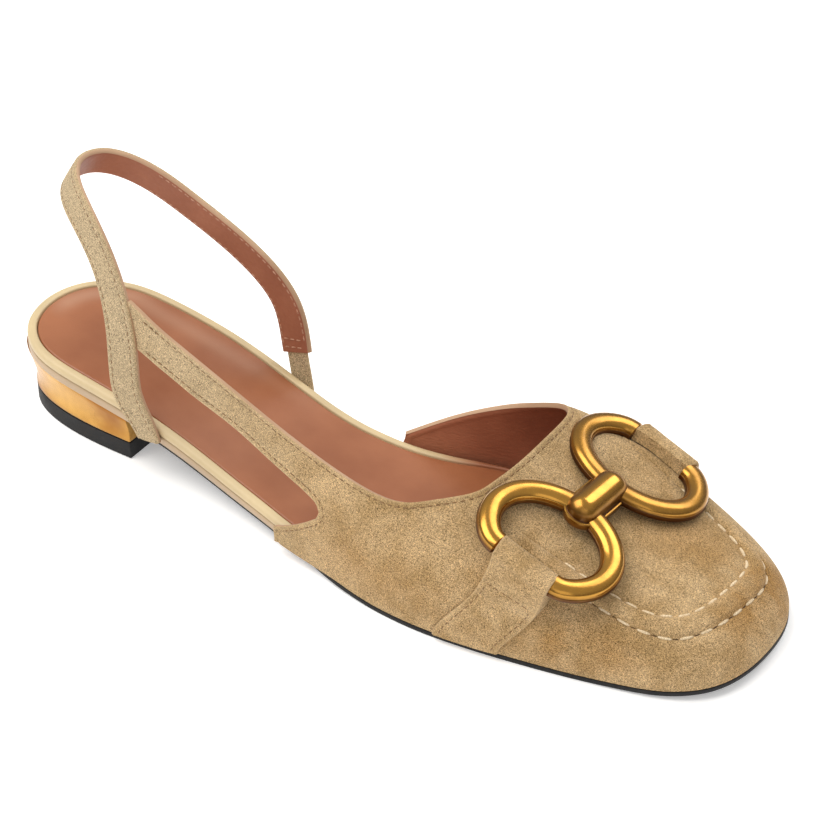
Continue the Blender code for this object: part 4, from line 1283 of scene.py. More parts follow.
@dataclass
class UpperShell:
    """Suede vamp, wings and quarter strap as one shell with its lining."""

    form: UpperForm
    site: Site
    palette: Palette
    wall: float = 1.4
    strap_columns: int = 110
    strap_rows: int = 44
    tail_columns: int = 40
    tail_rows: int = 16
    vamp_columns: int = 340
    outer_row: int = 14
    inner_row: int = 30
    edge_row: int = 50
    edge_width: float = 6.0
    fold_height: float = 0.16
    fold_groove: float = 0.20
    stitch_inset: float = 1.6
    tuck: float = 1.1
    tuck_start: float = 53.0
    tuck_length: float = 8.0
    # Painted light: its strength, rising over a length towards the back of the shoe.
    painted_light: float = 0.6
    painted_light_start: float = 130.0
    painted_light_length: float = 50.0

    def strap(self) -> Array:
        """Quarter strap behind the front of the cut-out."""
        form = self.form
        lines = []
        for share in ease(self.strap_columns + 1, tight_start=False):
            run = form.first_run + (form.front_run - form.first_run) * share
            x = float(form.sole.at(run)[0])
            low = form.at_height(run, float(form.low_edge(x)))
            points = form.rib(run, np.linspace(low, 1, self.strap_rows + 1))
            ahead = np.clip(points[:, 0] - self.tuck_start, 0, None)
            points[:, 1] += self.tuck * bell(ahead, self.tuck_length)
            lines.append(points)
        return np.array(lines)

    def tail(self) -> Array:
        """Wing under the cut-out."""
        form = self.form
        lines = []
        for share in ease(self.tail_columns + 1, tight_start=False):
            x = form.cutout_back + (form.cutout_front - form.cutout_back) * share
            run = form.sole.run_at(x)
            high = form.at_height(run, float(form.tail_edge(x)))
            lines.append(form.rib(run, np.linspace(0, high, self.tail_rows + 1)))
        return np.array(lines)

    def vamp(self) -> Array:
        """Vamp from the front of the cut-out around the toe to the inner side."""
        form = self.form
        rows = self.tail_rows + self.strap_rows
        split = form.at_height(form.front_run, form.cutout_front_z)
        plain = np.concatenate([np.linspace(0, split, self.tail_rows + 1),
                                np.linspace(split, 1, self.strap_rows + 1)[1:]])
        lines = []
        lifts = []
        for k in range(self.vamp_columns + 1):
            run = form.front_run + (form.last_run - form.front_run) * k / self.vamp_columns
            blend = min(1.0, (run - form.front_run) / 40.0)
            blend = blend * blend * (3 - 2 * blend)
            _, length = form.even(run, [0.0])
            knots = [0, self.outer_row, self.inner_row, self.edge_row, rows]
            high = max(1 - self.edge_width / length, 0.5 * (1 + float(form.seam_inner(run))))
            parts = np.interp(np.arange(rows + 1), knots,
                              [0, float(form.seam_outer(run)), float(form.seam_inner(run)), high, 1])
            shares, _ = form.even(run, parts)
            lines.append(form.rib(run, (1 - blend) * plain + blend * shares))
            lifts.append(blend * form.lift(run, parts, length))
        points = np.array(lines)
        return points + grid_normals(points) * np.array(lifts)[..., None]

    def edge_distance(self, item: bpy.types.Object, low_edge: float) -> Array:
        """Distance in millimetres of each point from the nearest free edge above the sole."""
        spots = Bench.points(item)
        count = np.zeros(len(item.data.edges), int)
        loops = np.zeros(len(item.data.loops), int)
        item.data.loops.foreach_get("edge_index", loops)
        np.add.at(count, loops, 1)
        ends = np.zeros(len(item.data.edges) * 2, int)
        item.data.edges.foreach_get("vertices", ends)
        ends = ends.reshape(-1, 2)[count == 1]
        first, last = spots[ends[:, 0]], spots[ends[:, 1]]
        samples = np.concatenate([first * (1 - t) + last * t for t in (0, 0.25, 0.5, 0.75)])
        x, _, z = self.site.local(samples)
        return Bench.closest(spots, samples[z > self.form.sole.underside(x) + low_edge])[1] / MM

    def warmth(self, spots: Array) -> Array:
        """Share of rusty brown mottling at points of the shoe."""
        x, y, z = self.site.local(spots)
        toe = bell(x - 243, 10) * bell(y - 12, 20)
        side = bell(x - 208, 15) * bell(z - 11, 6) * (y < 0)
        crown = 0.45 * bell(x - 216, 16) * bell(y - 10, 12)
        wing = 0.35 * bell(x - 150, 22) * bell(z - 14, 8) * (y < 0)
        return np.clip(1.15 * toe + 0.95 * side + crown + wing + 0.12, 0, 1)

    def build(self) -> bpy.types.Object:
        """Join the three sheets, fold their edges, and give them a wall with a lining."""
        sheets = [Bench.sheet(name, self.site.metres(points)) for name, points in
                  (("vamp", self.vamp()), ("strap", self.strap()), ("tail", self.tail()))]
        item = Bench.join(sheets, "suede_upper")
        Bench.weld(item, turn_out=False)
        edge = self.edge_distance(item, 0.6)
        sewn = self.fold_groove * bell(edge - self.stitch_inset, 0.45)
        fold = self.fold_height * bell(edge - 0.7, 0.6) - sewn
        spots = Bench.points(item)
        Bench.move(item, spots + Bench.normals(item) * (fold * MM)[:, None])
        Bench.note(item, "edge", edge)
        Bench.note(item, "warm", self.warmth(spots))
        # Painted light: share of the paler, greyer tone, growing towards the back.
        x = self.site.local(spots)[0]
        Bench.note(item, "painted_light", self.painted_light * ramp(self.painted_light_start - x, self.painted_light_length))
        Bench.wear(item, [self.palette.suede, self.palette.lining, self.palette.edge])
        Bench.modify(item, "SOLIDIFY", thickness=self.wall * MM, offset=-1.0, use_even_offset=True,
                     material_offset=1, material_offset_rim=2)
        Bench.modify(item, "BEVEL", width=0.4 * MM, segments=2, limit_method="ANGLE",
                     angle_limit=math.radians(60))
        Bench.smooth(item, 45)
        return dress(item, Slot.SUEDE, "upper")


@dataclass
class SlingStrap:
    """Sling behind the heel with its lining, and the elastic tab at its inner end."""

    form: SoleForm
    site: Site
    palette: Palette
    width: float = 10.6
    thick: float = 2.2
    foot_share: float = 0.72
    foot_length: float = 15.0
    foot_lift: float = -0.4
    painted_light: float = 0.85
    tab_width: float = 7.4
    tab_thick: float = 1.6
    tab_lap: float = 3.0
    tab_columns: int = 60
    end_row: int = 15
    columns: int = 260
    round_rows: int = 6

    def __post_init__(self) -> None:
        """Work out the path of the band."""
        path = np.array([row[:3] for row in SLING], float)
        self.chord = distances(path)
        self.path = spline(self.chord, path)
        self.heading = spline(self.chord, column(SLING, 3))
        self.lean = spline(self.chord, column(SLING, 4))
        self.end = float(self.chord[self.end_row])

    def frame(self, place: float) -> tuple[Array, Array, Array]:
        """Middle of the band, its outward normal and its width direction at a place along it."""
        step = 0.5
        ahead = self.path(np.array(place + step)) - self.path(np.array(place - step))
        ahead /= np.linalg.norm(ahead)
        heading = math.radians(float(self.heading(np.array(place))))
        lean = math.radians(float(self.lean(np.array(place))))
        level = math.cos(lean)
        out = np.array([math.cos(heading) * level, math.sin(heading) * level, math.sin(lean)])
        out -= ahead * np.dot(out, ahead)
        out /= np.linalg.norm(out)
        return self.path(np.array(place)), out, np.cross(ahead, out)

    def half_width(self, place: float, width: float) -> float:
        """Half of the band's width, drawn in towards its foot."""
        share = min(1.0, place / self.foot_length)
        return 0.5 * width * (self.foot_share + (1 - self.foot_share) * share)

    def section(self, half: float, deep: float) -> list[tuple[float, float]]:
        """Rounded band section from the middle of its outer face around, closed."""
        turn = 0.75 * deep
        rows = [(s * (half - turn), deep * (1 + 0.06 * (1 - s * s))) for s in np.linspace(0, 1, 9)]
        for k in range(1, self.round_rows + 1):
            angle = math.pi * k / (self.round_rows + 1)
            rows.append((half - turn + turn * math.sin(angle), deep * math.cos(angle)))
        rows += [(s * (half - turn), -deep) for s in np.linspace(1, 0, 9)]
        left = [(-a, b) for a, b in rows[-2:0:-1]]
        return rows + left + rows[:1]

    def foot_place(self, side: float) -> float:
        """Place along the path where an edge of the band comes up past the underside of the footbed."""
        for place in np.arange(0.0, self.foot_length, 0.2):
            middle, _, aside = self.frame(place)
            spot = middle + aside * side * self.half_width(place, self.width)
            if spot[2] > float(self.form.underside(spot[0])) + self.foot_lift:
                break
        return float(place)

    def band(self, name: str, start: float, end: float, width: float, thick: float,
             columns: int, skew: tuple[float, float] = (0.0, 0.0)) -> bpy.types.Object:
        """Closed band along the path, with a note of how far each point lies across and out.

        Args:
            name: Name of the piece.
            start: Place along the path where the band starts.
            end: Place where it ends.
            width: Full width.
            thick: Full thickness.
            columns: Steps along the band.
            skew: How much later than the start its two edges begin.

        Returns:
            The closed band.
        """
        lines = []
        across = []
        outs = []
        for k in range(columns + 1):
            place = start + (end - start) * k / columns
            middle, out, side = self.frame(place)
            half = self.half_width(place, width)
            rows = self.section(half, 0.5 * thick)
            line = []
            for a, b in rows:
                sewn = GROOVE * bell(half - abs(a) - EDGE_STITCH, 0.4) * (b > 0.3 * thick)
                late = 0.5 * (skew[0] + skew[1]) + 0.5 * (skew[1] - skew[0]) * a / half
                late *= max(0.0, 1 - (place - start) / 24.0)
                spot, face, aside = self.frame(place + late) if late > 0 else (middle, out, side)
                line.append(spot + aside * a + face * (b - sewn))
            lines.append(line)
            across.append([half - abs(a) for a, b in rows])
            outs.append([b / thick for a, b in rows])
        world = self.site.metres(lines)
        item = Bench.sheet(name, world)
        index, _ = Bench.closest(Bench.points(item), world.reshape(-1, 3))
        Bench.note(item, "edge", np.ravel(across)[index] + 0.35)
        Bench.note(item, "warm", np.zeros(len(index)))
        # Painted light: the sling gets the paler, greyer tone of the back of the upper.
        Bench.note(item, "painted_light", np.full(len(index), self.painted_light))
        Bench.note(item, "face", np.ravel(outs)[index])
        Bench.weld(item, fill=True)
        Bench.smooth(item, 45)
        return item

    def sides(self, item: bpy.types.Object) -> Array:
        """Choice of suede, lining or cut edge for each face of a band."""
        face = np.zeros(len(item.data.vertices))
        item.data.attributes["face"].data.foreach_get("value", face)
        choice = []
        for polygon in item.data.polygons:
            value = float(np.mean(face[list(polygon.vertices)]))
            choice.append(1 if value < -0.43 else (2 if value < 0.05 else 0))
        return np.array(choice)

    def build(self) -> None:
        """Sling and tab."""
        skew = (self.foot_place(-1.0), self.foot_place(1.0))
        LOG.info("sling foot starts %.1f and %.1f mm along its edges", *skew)
        sling = self.band("suede_sling", 0.0, self.end, self.width, self.thick, self.columns, skew)
        faces = [self.palette.suede, self.palette.sling_lining, self.palette.edge]
        Bench.wear(sling, faces, self.sides(sling))
        dress(sling, Slot.SUEDE)
        tab = self.band("elastic_tab", self.end - self.tab_lap, float(self.chord[-1]), self.tab_width,
                        self.tab_thick, self.tab_columns)
        Bench.wear(tab, [self.palette.suede])
        dress(tab, Slot.SUEDE, "sling_tab")


def by_side(outer: Any, inner: Any) -> Any:
    """Field with one value for the outer and one for the inner side."""
    return field(default_factory=lambda: {Side.LATERAL: outer, Side.MEDIAL: inner})


@dataclass
class RingSet:
    """Two gold rings, the suede keepers on their bars, and the saddle link between them."""

    form: UpperForm
    site: Site
    palette: Palette
    half_length: float = 19.3
    half_width: float = 15.3
    bar_offset: float = 12.2
    band: float = 6.9
    inset: float = 0.6
    corner: float = 2.0
    height: float = 3.9
    bare_bar: float = 9.0
    bar_band: float = 3.4
    bar_height: float = 3.0
    link_centre: tuple[float, float, float] = (195.4, -0.9, 35.5)
    link_size: tuple[float, float, float] = (11.5, 24.0, 7.2)
    link_drop: float = 0.9
    bars: dict = by_side(((192.8, -34.3, 32.6), 17.0), ((196.2, 32.6, 30.8), 18.0))
    keeper_feet: dict = by_side((-102.0, -82.0), (93.0, 72.5))
    keeper_half_width: float = 9.3
    keeper_foot: float = 0.015
    keeper_end: dict = by_side(3.6, 2.5)
    keeper_roll: dict = by_side(4.4, 3.3)
    span_start: float = 0.5
    seat_drop: dict = by_side(0.4, 1.0)
    keeper_swing: float = 1.6
    keeper_thick: float = 1.1
    fold_dent: float = 0.35
    # Extra painted shade on each ring, given to the inner one only.
    extra_ring_shade: dict = by_side(0.0, 0.16)
    ring_columns: int = 220
    keeper_rows: int = 90
    keeper_columns: int = 40

    def axes(self, side: Side) -> tuple[Array, Array, Array, Array]:
        """Middle of a ring's bar, and its directions along the bar, inward and up."""
        bar, fall = self.bars[side]
        bar = np.array(bar, float)
        inward = np.array(self.link_centre) - bar
        inward /= np.linalg.norm(inward)
        turn = math.radians(fall)
        along = np.array([math.cos(turn), 0.0, -math.sin(turn)])
        along -= inward * np.dot(along, inward)
        along /= np.linalg.norm(along)
        up = np.cross(along, inward)
        return bar, along, inward, up if up[2] > 0 else -up

    def outline(self, count: int) -> Array:
        """Middle line of a ring: an oval whose outer side is cut straight by the bar, corners eased."""
        chord = math.acos(-self.bar_offset / self.half_width)
        oval = [(self.half_length * math.sin(a), self.bar_offset + self.half_width * math.cos(a))
                for a in np.linspace(-chord, chord, 400)]
        straight = [(oval[-1][0] + (oval[0][0] - oval[-1][0]) * t, 0.0) for t in np.linspace(0, 1, 80)[1:]]
        line = np.array(oval + straight)
        reach = distances(line)
        even = np.linspace(0, reach[-1], 4 * count + 1)[:-1]
        fine = np.stack([np.interp(even, reach, line[:, 0]), np.interp(even, reach, line[:, 1])], axis=1)
        steps = np.arange(-80, 81)
        weights = np.exp(-0.5 * (steps * even[1] / self.corner) ** 2)
        weights /= weights.sum()
        eased = sum(w * np.roll(fine, -int(k), axis=0) for k, w in zip(steps, weights))
        return eased[::4]

    def section(self, half: float, tall: float) -> list[tuple[float, float]]:
        """Closed section of the band: straight wall, small ledge and crowned top."""
        wall = 0.40 * tall
        inner = half * 0.93
        right = [(half * 0.86, 0.0), (half * 0.97, 0.05 * tall), (half, 0.12 * tall),
                 (half, wall - 0.05 * tall), (half * 0.985, wall - 0.01 * tall), (half * 0.95, wall),
                 (inner, wall + 0.02 * tall)]
        crown = []
        for k in range(1, 18):
            angle = math.pi * k / 18
            level = max(math.sin(angle), 0.0) ** 0.85
            crown.append((inner * math.cos(angle), wall + 0.02 * tall + (0.98 * tall - wall) * level))
        left = [(-a, b) for a, b in right[::-1]]
        rows = right + crown + left
        return rows + rows[:1]

    def ring_points(self, side: Side) -> tuple[Array, Array]:
        """Points of a ring in millimetres, and the painted shade of each point."""
        bar, along, inward, up = self.axes(side)
        line = self.outline(self.ring_columns)
        count = len(line)
        loops = []
        darkening = []
        for k in range(count + 1):
            spot = line[k % count]
            ahead = line[(k + 1) % count] - line[k % count - 1]
            ahead /= np.linalg.norm(ahead)
            aside = np.array([ahead[1], -ahead[0]])
            bare = abs(spot[0]) < self.bare_bar and spot[1] < self.bar_offset
            share = 0.0 if bare else 1.0
            half = 0.5 * (self.bar_band + (self.band - self.bar_band) * share)
            tall = self.bar_height + (self.height - self.bar_height) * share
            loop = []
            tone = []
            for out, high in self.section(half, tall):
                flat = spot + aside * (out + self.inset * share)
                loop.append(bar + along * flat[0] + inward * flat[1] + up * (high - self.height / 2))
                far = math.hypot(flat[0], flat[1] - self.bar_offset - self.half_width)
                near = max(0.0, 1 - far / 9.0)
                # Painted shade and dark reflections: darkest on the low walls, fading up the crown's sides,
                # more near the link.
                wall = 0.80 if high < 0.41 * tall else 0.45 * max(0.0, 1 - (high / tall - 0.41) / 0.25)
                tone.append(wall + 0.45 * near)
            loops.append(loop)
            darkening.append(tone)
        return np.array(loops), np.clip(np.array(darkening), 0, 1)

    def seat(self, side: Side, points: Array) -> Array:
        """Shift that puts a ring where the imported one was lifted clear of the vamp."""
        low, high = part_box("bit_ring_" + side.value)
        packed = np.array(low + high) * 0.5
        world = self.site.metres(points).reshape(-1, 3)
        up = self.axes(side)[3]
        away = (packed - 0.5 * (world.min(0) + world.max(0))) / MM
        return up * (float(np.dot(away, up)) - self.seat_drop[side])

    def ring(self, side: Side) -> Array:
        """Make one gold ring, and tell the shift that seats it."""
        points, darkening = self.ring_points(side)
        shift = self.seat(side, points)
        world = self.site.metres(points + shift)
        item = Bench.sheet("gold_ring_" + side.value, world)
        index, _ = Bench.closest(Bench.points(item), world.reshape(-1, 3))
        # The inner ring, farther from the camera, gets extra painted shade.
        Bench.note(item, "painted_shade", np.clip(darkening.ravel()[index] + self.extra_ring_shade[side], 0, 1))
        Bench.weld(item)
        Bench.smooth(item, 50)
        Bench.wear(item, [self.palette.ring])
        dress(item, Slot.RING, "bit_ring_" + side.value)
        return shift

    def keeper_base(self, side: Side, shift: Array) -> Callable[[float, float], tuple[Array, Array, float]]:
        """Function of the place along and across a keeper: skin point, normal and top height."""
        bar, along, inward, up = self.axes(side)
        bar = bar + shift
        feet = self.keeper_feet[side]
        low, high = (-110.0, -30.0) if side is Side.LATERAL else (30.0, 110.0)
        ends = []
        for turn in (-1, 1):
            corner = bar + along * self.keeper_half_width * turn + inward * self.keeper_end[side]
            ends.append(self.form.nearest(corner, low, high))
        reach = self.keeper_roll[side]
        cover = self.bar_height - self.height / 2 + GAP + self.keeper_thick

        def plain(v: float, w: float) -> tuple[Array, Array, float]:
            """Skin point, normal and thickness where the strap lies down or rolls over the bar."""
            foot_run = feet[0] + (feet[1] - feet[0]) * w
            end_run = ends[0][0] + (ends[1][0] - ends[0][0]) * w
            end_part = ends[0][1] + (ends[1][1] - ends[0][1]) * w
            run = foot_run + (end_run - foot_run) * v ** self.keeper_swing
            spot, normal = self.form.skin(run, self.keeper_foot + (end_part - self.keeper_foot) * v)
            spot = spot + normal * (GAP + self.form.seam_height * float(self.form.seam_share(run)))
            thick = self.keeper_thick
            over = float(np.dot(bar - spot, up)) / float(np.dot(normal, up))
            offset = float(np.dot(spot + normal * over - bar, inward))
            if abs(offset) < reach:
                arch = cover * math.sqrt(1 - (offset / reach) ** 2)
                thick = max(thick, over + arch / float(np.dot(normal, up)))
            return spot, normal, thick

        rolls: dict[float, tuple[float, float]] = {}

        def at(v: float, w: float) -> tuple[Array, Array, float]:
            """Skin point, normal and thickness of the strap pulled straight up to its roll."""
            if w not in rolls:
                rows = [(plain(place, w)[2], place) for place in np.linspace(0.5, 1, 60)]
                rolls[w] = max(rows)
            high, peak = rolls[w]
            spot, normal, thick = plain(v, w)
            share = (v - self.span_start) / (peak - self.span_start)
            if 0 < share < 1:
                thick = max(thick, high * share ** 1.5)
            return spot, normal, thick - self.fold_dent * bell(v - KEEPER_FOLD, 0.016)

        return at

    def keeper(self, side: Side, shift: Array) -> Callable:
        """Make the suede strap from the sole edge over the ring's bar, and tell its surface function."""
        at = self.keeper_base(side, shift)
        loops = []
        close = KEEPER_FOLD + np.linspace(-0.04, 0.04, 21)
        places = np.sort(np.concatenate([np.linspace(0, 1, self.keeper_rows + 1), close]))
        for v in places:
            low = []
            top = []
            for j in range(self.keeper_columns + 1):
                w = j / self.keeper_columns
                spot, normal, thick = at(float(v), w)
                near = min(w, 1 - w) * 2 * self.keeper_half_width
                eased = 0.4 * bell(near, 0.35) + GROOVE * bell(near - EDGE_STITCH, 0.4)
                low.append(spot)
                top.append(spot + normal * (thick - eased))
            loop = low + top[::-1]
            loops.append(loop + loop[:1])
        points = np.array(loops)
        item = Bench.sheet("suede_keeper_" + side.value, self.site.metres(points))
        Bench.weld(item, fill=True)
        spots = Bench.points(item)
        sides = self.site.metres(np.concatenate([points[:, self.keeper_columns + 1], points[:, -2]]))
        Bench.note(item, "edge", Bench.closest(spots, sides)[1] / MM + 0.2)
        Bench.note(item, "warm", np.full(len(spots), 0.15))
        Bench.smooth(item, 50)
        Bench.wear(item, [self.palette.suede])
        dress(item, Slot.SUEDE, "ring_keeper_" + side.value)
        return at

    def link(self) -> None:
        """Saddle link: a crowned, rounded bar on a straight skirt, with painted shade on its walls and in its
        groove.
        """
        low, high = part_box("ring_link")
        middle = np.array(low + high) * 0.5 + np.array([0.0, -0.9, -self.link_drop]) * MM
        wide, long, tall = self.link_size
        radius = 0.5 * wide
        stem = 0.5 * long - radius
        # Third value of each row is painted shade: dark lip walls and groove, crown darker towards its sides.
        lip = [(0.86, 0.0, 0.7), (0.96, 0.03, 0.7), (1.0, 0.09, 0.6), (1.0, 0.30, 0.55),
               (0.985, 0.335, 0.2), (0.94, 0.35, 0.1), (0.885, 0.352, 0.9), (0.855, 0.37, 1.0)]
        crown = [(0.84 * math.cos(a), 0.39 + 0.61 * math.sin(a) ** 0.9, 0.7 * math.cos(a) ** 2.5)
                 for a in np.linspace(0.06, 0.5 * math.pi, 20)]
        columns = 96
        loops = []
        darkening = []
        for share, high_at, tone in lip + crown:
            loop = []
            for j in range(columns + 1):
                turn = 2 * math.pi * j / columns
                end = stem * math.tanh(6 * math.sin(turn))
                loop.append((radius * share * math.cos(turn), end + radius * share * math.sin(turn),
                             (high_at - 0.5) * tall))
            loops.append(loop)
            darkening.append([tone] * (columns + 1))
        points = np.array(loops)
        line = np.array(self.bars[Side.MEDIAL][0]) - np.array(self.bars[Side.LATERAL][0])
        fall = math.radians(0.5 * (self.bars[Side.MEDIAL][1] + self.bars[Side.LATERAL][1]))
        turn = (Matrix.Rotation(-math.atan2(line[0], line[1]), 3, "Z") @ Matrix.Rotation(fall, 3, "Y")
                @ Matrix.Rotation(math.atan2(line[2], line[1]), 3, "X"))
        world = points @ np.array(turn).T * MM + middle
        item = Bench.sheet("gold_ring_link", world)
        index, _ = Bench.closest(Bench.points(item), world.reshape(-1, 3))
        Bench.note(item, "painted_shade", np.ravel(darkening)[index])
        Bench.weld(item, fill=True)
        Bench.smooth(item, 40)
        Bench.wear(item, [self.palette.ring])
        dress(item, Slot.RING, "ring_link")

    def build(self) -> dict[Side, Callable]:
        """All pieces of the ornament, and the surface function of each keeper."""
        tops = {}
        for side in Side:
            shift = self.ring(side)
            tops[side] = self.keeper(side, shift)
        self.link()
        return tops


@dataclass
class Stitching:
    """Rows of thread on the upper, the sling and the keepers."""

    shell: UpperShell
    sling: SlingStrap
    site: Site
    palette: Palette
    fine_pitch: float = 2.3
    fine_size: tuple[float, float, float] = (0.80, 0.24, 0.20)
    bold_pitch: float = 6.0
    bold_size: tuple[float, float, float] = (2.0, 0.50, 0.42)
    hole_size: tuple[float, float, float] = (0.95, 0.50, 0.26)
    inner_pitch: float = 5.0
    inner_size: tuple[float, float, float] = (1.8, 0.48, 0.42)

    def bead(self, size: tuple[float, float, float]) -> tuple[Array, list[tuple[int, ...]]]:
        """One stitch, modelled once: points in millimetres and faces."""
        Bench.clear()
        bpy.ops.mesh.primitive_uv_sphere_add(segments=8, ring_count=6, radius=1.0)
        item = bpy.context.object
        spots = Bench.points(item)
        long = np.sign(spots[:, 2]) * np.abs(spots[:, 2]) ** 0.75
        shaped = np.stack([long * size[0], spots[:, 0] * size[1], spots[:, 1] * size[2]], axis=1)
        faces = [tuple(polygon.vertices) for polygon in item.data.polygons]
        mesh = item.data
        bpy.data.objects.remove(item)
        bpy.data.meshes.remove(mesh)
        return shaped, faces

    def row(self, name: str, lines: Sequence[tuple[Array, Array]], pitch: float,
            size: tuple[float, float, float], material: bpy.types.Material, skip: float = 0.0,
            sink: float = 0.0) -> bpy.types.Object:
        """Stitches along lines of surface points.

        Args:
            name: Name of the piece.
            lines: Points and normals of each line, in millimetres.
            pitch: Distance from stitch to stitch.
            size: Half sizes of a stitch along, across and up.
            material: Thread.
            skip: Share of a pitch by which the first stitch is moved on.
            sink: How deep a stitch lies in the surface.

        Returns:
            One piece with every stitch of the lines.
        """
        shape, faces = self.bead(size)
        spots = []
        polygons = []
        for line, normals in lines:
            reach = distances(line)
            places = np.arange((0.5 + skip) * pitch, reach[-1] - 0.4 * pitch, pitch)
            for place in places:
                ends = [np.array([np.interp(place + d, reach, line[:, c]) for c in range(3)])
                        for d in (-size[0], 0.0, size[0])]
                ahead = ends[2] - ends[0]
                ahead /= np.linalg.norm(ahead)
                up = np.array([np.interp(place, reach, normals[:, c]) for c in range(3)])
                up -= ahead * np.dot(up, ahead)
                up /= np.linalg.norm(up)
                aside = np.cross(up, ahead)
                base = len(spots)
                middle = 0.5 * (ends[0] + ends[2])
                bow = ends[1] - middle
                for a, b, c in shape:
                    share = 1 - (a / size[0]) ** 2
                    spots.append(middle + bow * share + ahead * a + aside * b + up * (c - sink))
                polygons += [tuple(base + i for i in face) for face in faces]
        mesh = bpy.data.meshes.new(name)
        mesh.from_pydata([tuple(p) for p in self.site.metres(np.array(spots))], [], polygons)
        item = bpy.data.objects.new(name, mesh)
        bpy.context.scene.collection.objects.link(item)
        Bench.smooth(item, 180)
        Bench.wear(item, [material])
        return dress(item, Slot.SUEDE)

    def seam_line(self, inner: bool, runs: Array) -> tuple[Array, Array]:
        """Line of the apron seam on its outer or inner edge."""
        form = self.shell.form
        rows = []
        for run in runs:
            part = float(form.seam_inner(run) if inner else form.seam_outer(run))
            _, length = form.even(run, [0.0])
            spot, normal = form.skin(run, part)
            rows.append((spot + normal * float(form.lift(run, part, length)), normal))
        return line_of(rows)

    def topline(self) -> tuple[Array, Array]:
        """Line beside the topline of strap and vamp."""
        form = self.shell.form
        rows = []
        for run in np.linspace(form.first_run + 6, form.last_run - 8, 260):
            _, length = form.even(run, [0.0])
            spot, normal = form.skin(run, 1 - self.shell.stitch_inset / length)
            rows.append((spot - normal * GROOVE, normal))
        return line_of(rows)

    def cutout(self) -> tuple[Array, Array]:
        """Line around the cut-out, beside its edge."""
        form = self.shell.form
        upper = [(x, float(form.low_edge(x))) for x in np.linspace(60, form.cutout_front, 90)]
        behind = np.linspace(form.cutout_front, form.cutout_back + 2, 40)
        lower = [(x, float(form.tail_edge(x))) for x in behind]
        edge = np.array(upper + lower[1:])
        ahead = np.gradient(edge, axis=0)
        ahead /= np.linalg.norm(ahead, axis=1, keepdims=True)
        out = np.stack([-ahead[:, 1], ahead[:, 0]], axis=1)
        for _ in range(6):
            out[1:-1] = (out[:-2] + out[1:-1] + out[2:]) / 3
        out /= np.linalg.norm(out, axis=1, keepdims=True)
        rows = []
        for x, z in edge + out * self.shell.stitch_inset:
            spot, normal = form.side_point(x, z)
            rows.append((spot - normal * GROOVE, normal))
        return line_of(rows)

    def sling_line(self, side: float, start: float, end: float, inset: float = EDGE_STITCH,
                   face: float = 1.0) -> tuple[Array, Array]:
        """Line along the sling beside one of its edges, on its outer or inner face."""
        rows = []
        for place in np.linspace(start, end, 220):
            middle, out, aside = self.sling.frame(place)
            half = self.sling.half_width(place, self.sling.width)
            lift = 0.5 * self.sling.thick * (0.93 if face > 0 else 1.0)
            rows.append((middle + aside * side * (half - inset) + out * lift * face, out * face))
        return line_of(rows)

    def sling_cross(self, place: float) -> tuple[Array, Array]:
        """Line across the inner face of the sling."""
        middle, out, aside = self.sling.frame(place)
        half = self.sling.half_width(place, self.sling.width) - 1.4
        under = out * 0.5 * self.sling.thick
        return line_of((middle + aside * s * half - under, -out) for s in np.linspace(-1, 1, 12))

    def keeper_lines(self, at: Callable) -> list[tuple[Array, Array]]:
        """Lines beside both edges of a keeper and across its fold."""
        lines = []
        for w in (0.1, 0.9):
            rows = [at(v, w) for v in np.linspace(0.03, KEEPER_FOLD, 40)]
            lines.append(line_of((s + n * (t - 0.1), n) for s, n, t in rows))
        rows = [at(KEEPER_FOLD, w) for w in np.linspace(0.08, 0.92, 24)]
        lines.append(line_of((s + n * t, n) for s, n, t in rows))
        return lines

    def build(self, tops: dict[Side, Callable]) -> None:
        """Sew every row."""
        cream, tan, rosy = self.palette.cream, self.palette.tan_thread, self.palette.rosy_thread
        outer = [self.seam_line(False, np.linspace(-49, 47, 200))]
        inner = [self.seam_line(True, np.linspace(-41, 37, 200))]
        self.row("apron_stitches_outer", outer, self.bold_pitch, self.bold_size, cream, sink=-0.12)
        # Dark beads between the stitches: painted shade in the needle holes.
        self.row("apron_needle_holes", outer, self.bold_pitch, self.hole_size, self.palette.hole, skip=0.5,
                 sink=0.12)
        self.row("apron_stitches_inner", inner, self.inner_pitch, self.inner_size, cream, sink=-0.12)
        fine = [self.topline(), self.cutout()]
        for side in (-1.0, 1.0):
            fine.append(self.sling_line(side, 4.0, self.sling.end - 2.0))
        for side in Side:
            fine += self.keeper_lines(tops[side])
        self.row("edge_stitches", fine, self.fine_pitch, self.fine_size, tan, sink=0.06)
        ends = [self.sling_cross(self.sling.end - d) for d in (1.6, 4.2)]
        for side in (-1.0, 1.0):
            ends.append(self.sling_line(side, self.sling.end - 70, self.sling.end - 2.0, 1.2, -1.0))
        self.row("sling_end_stitches", ends, self.fine_pitch, self.fine_size, rosy, sink=0.04)


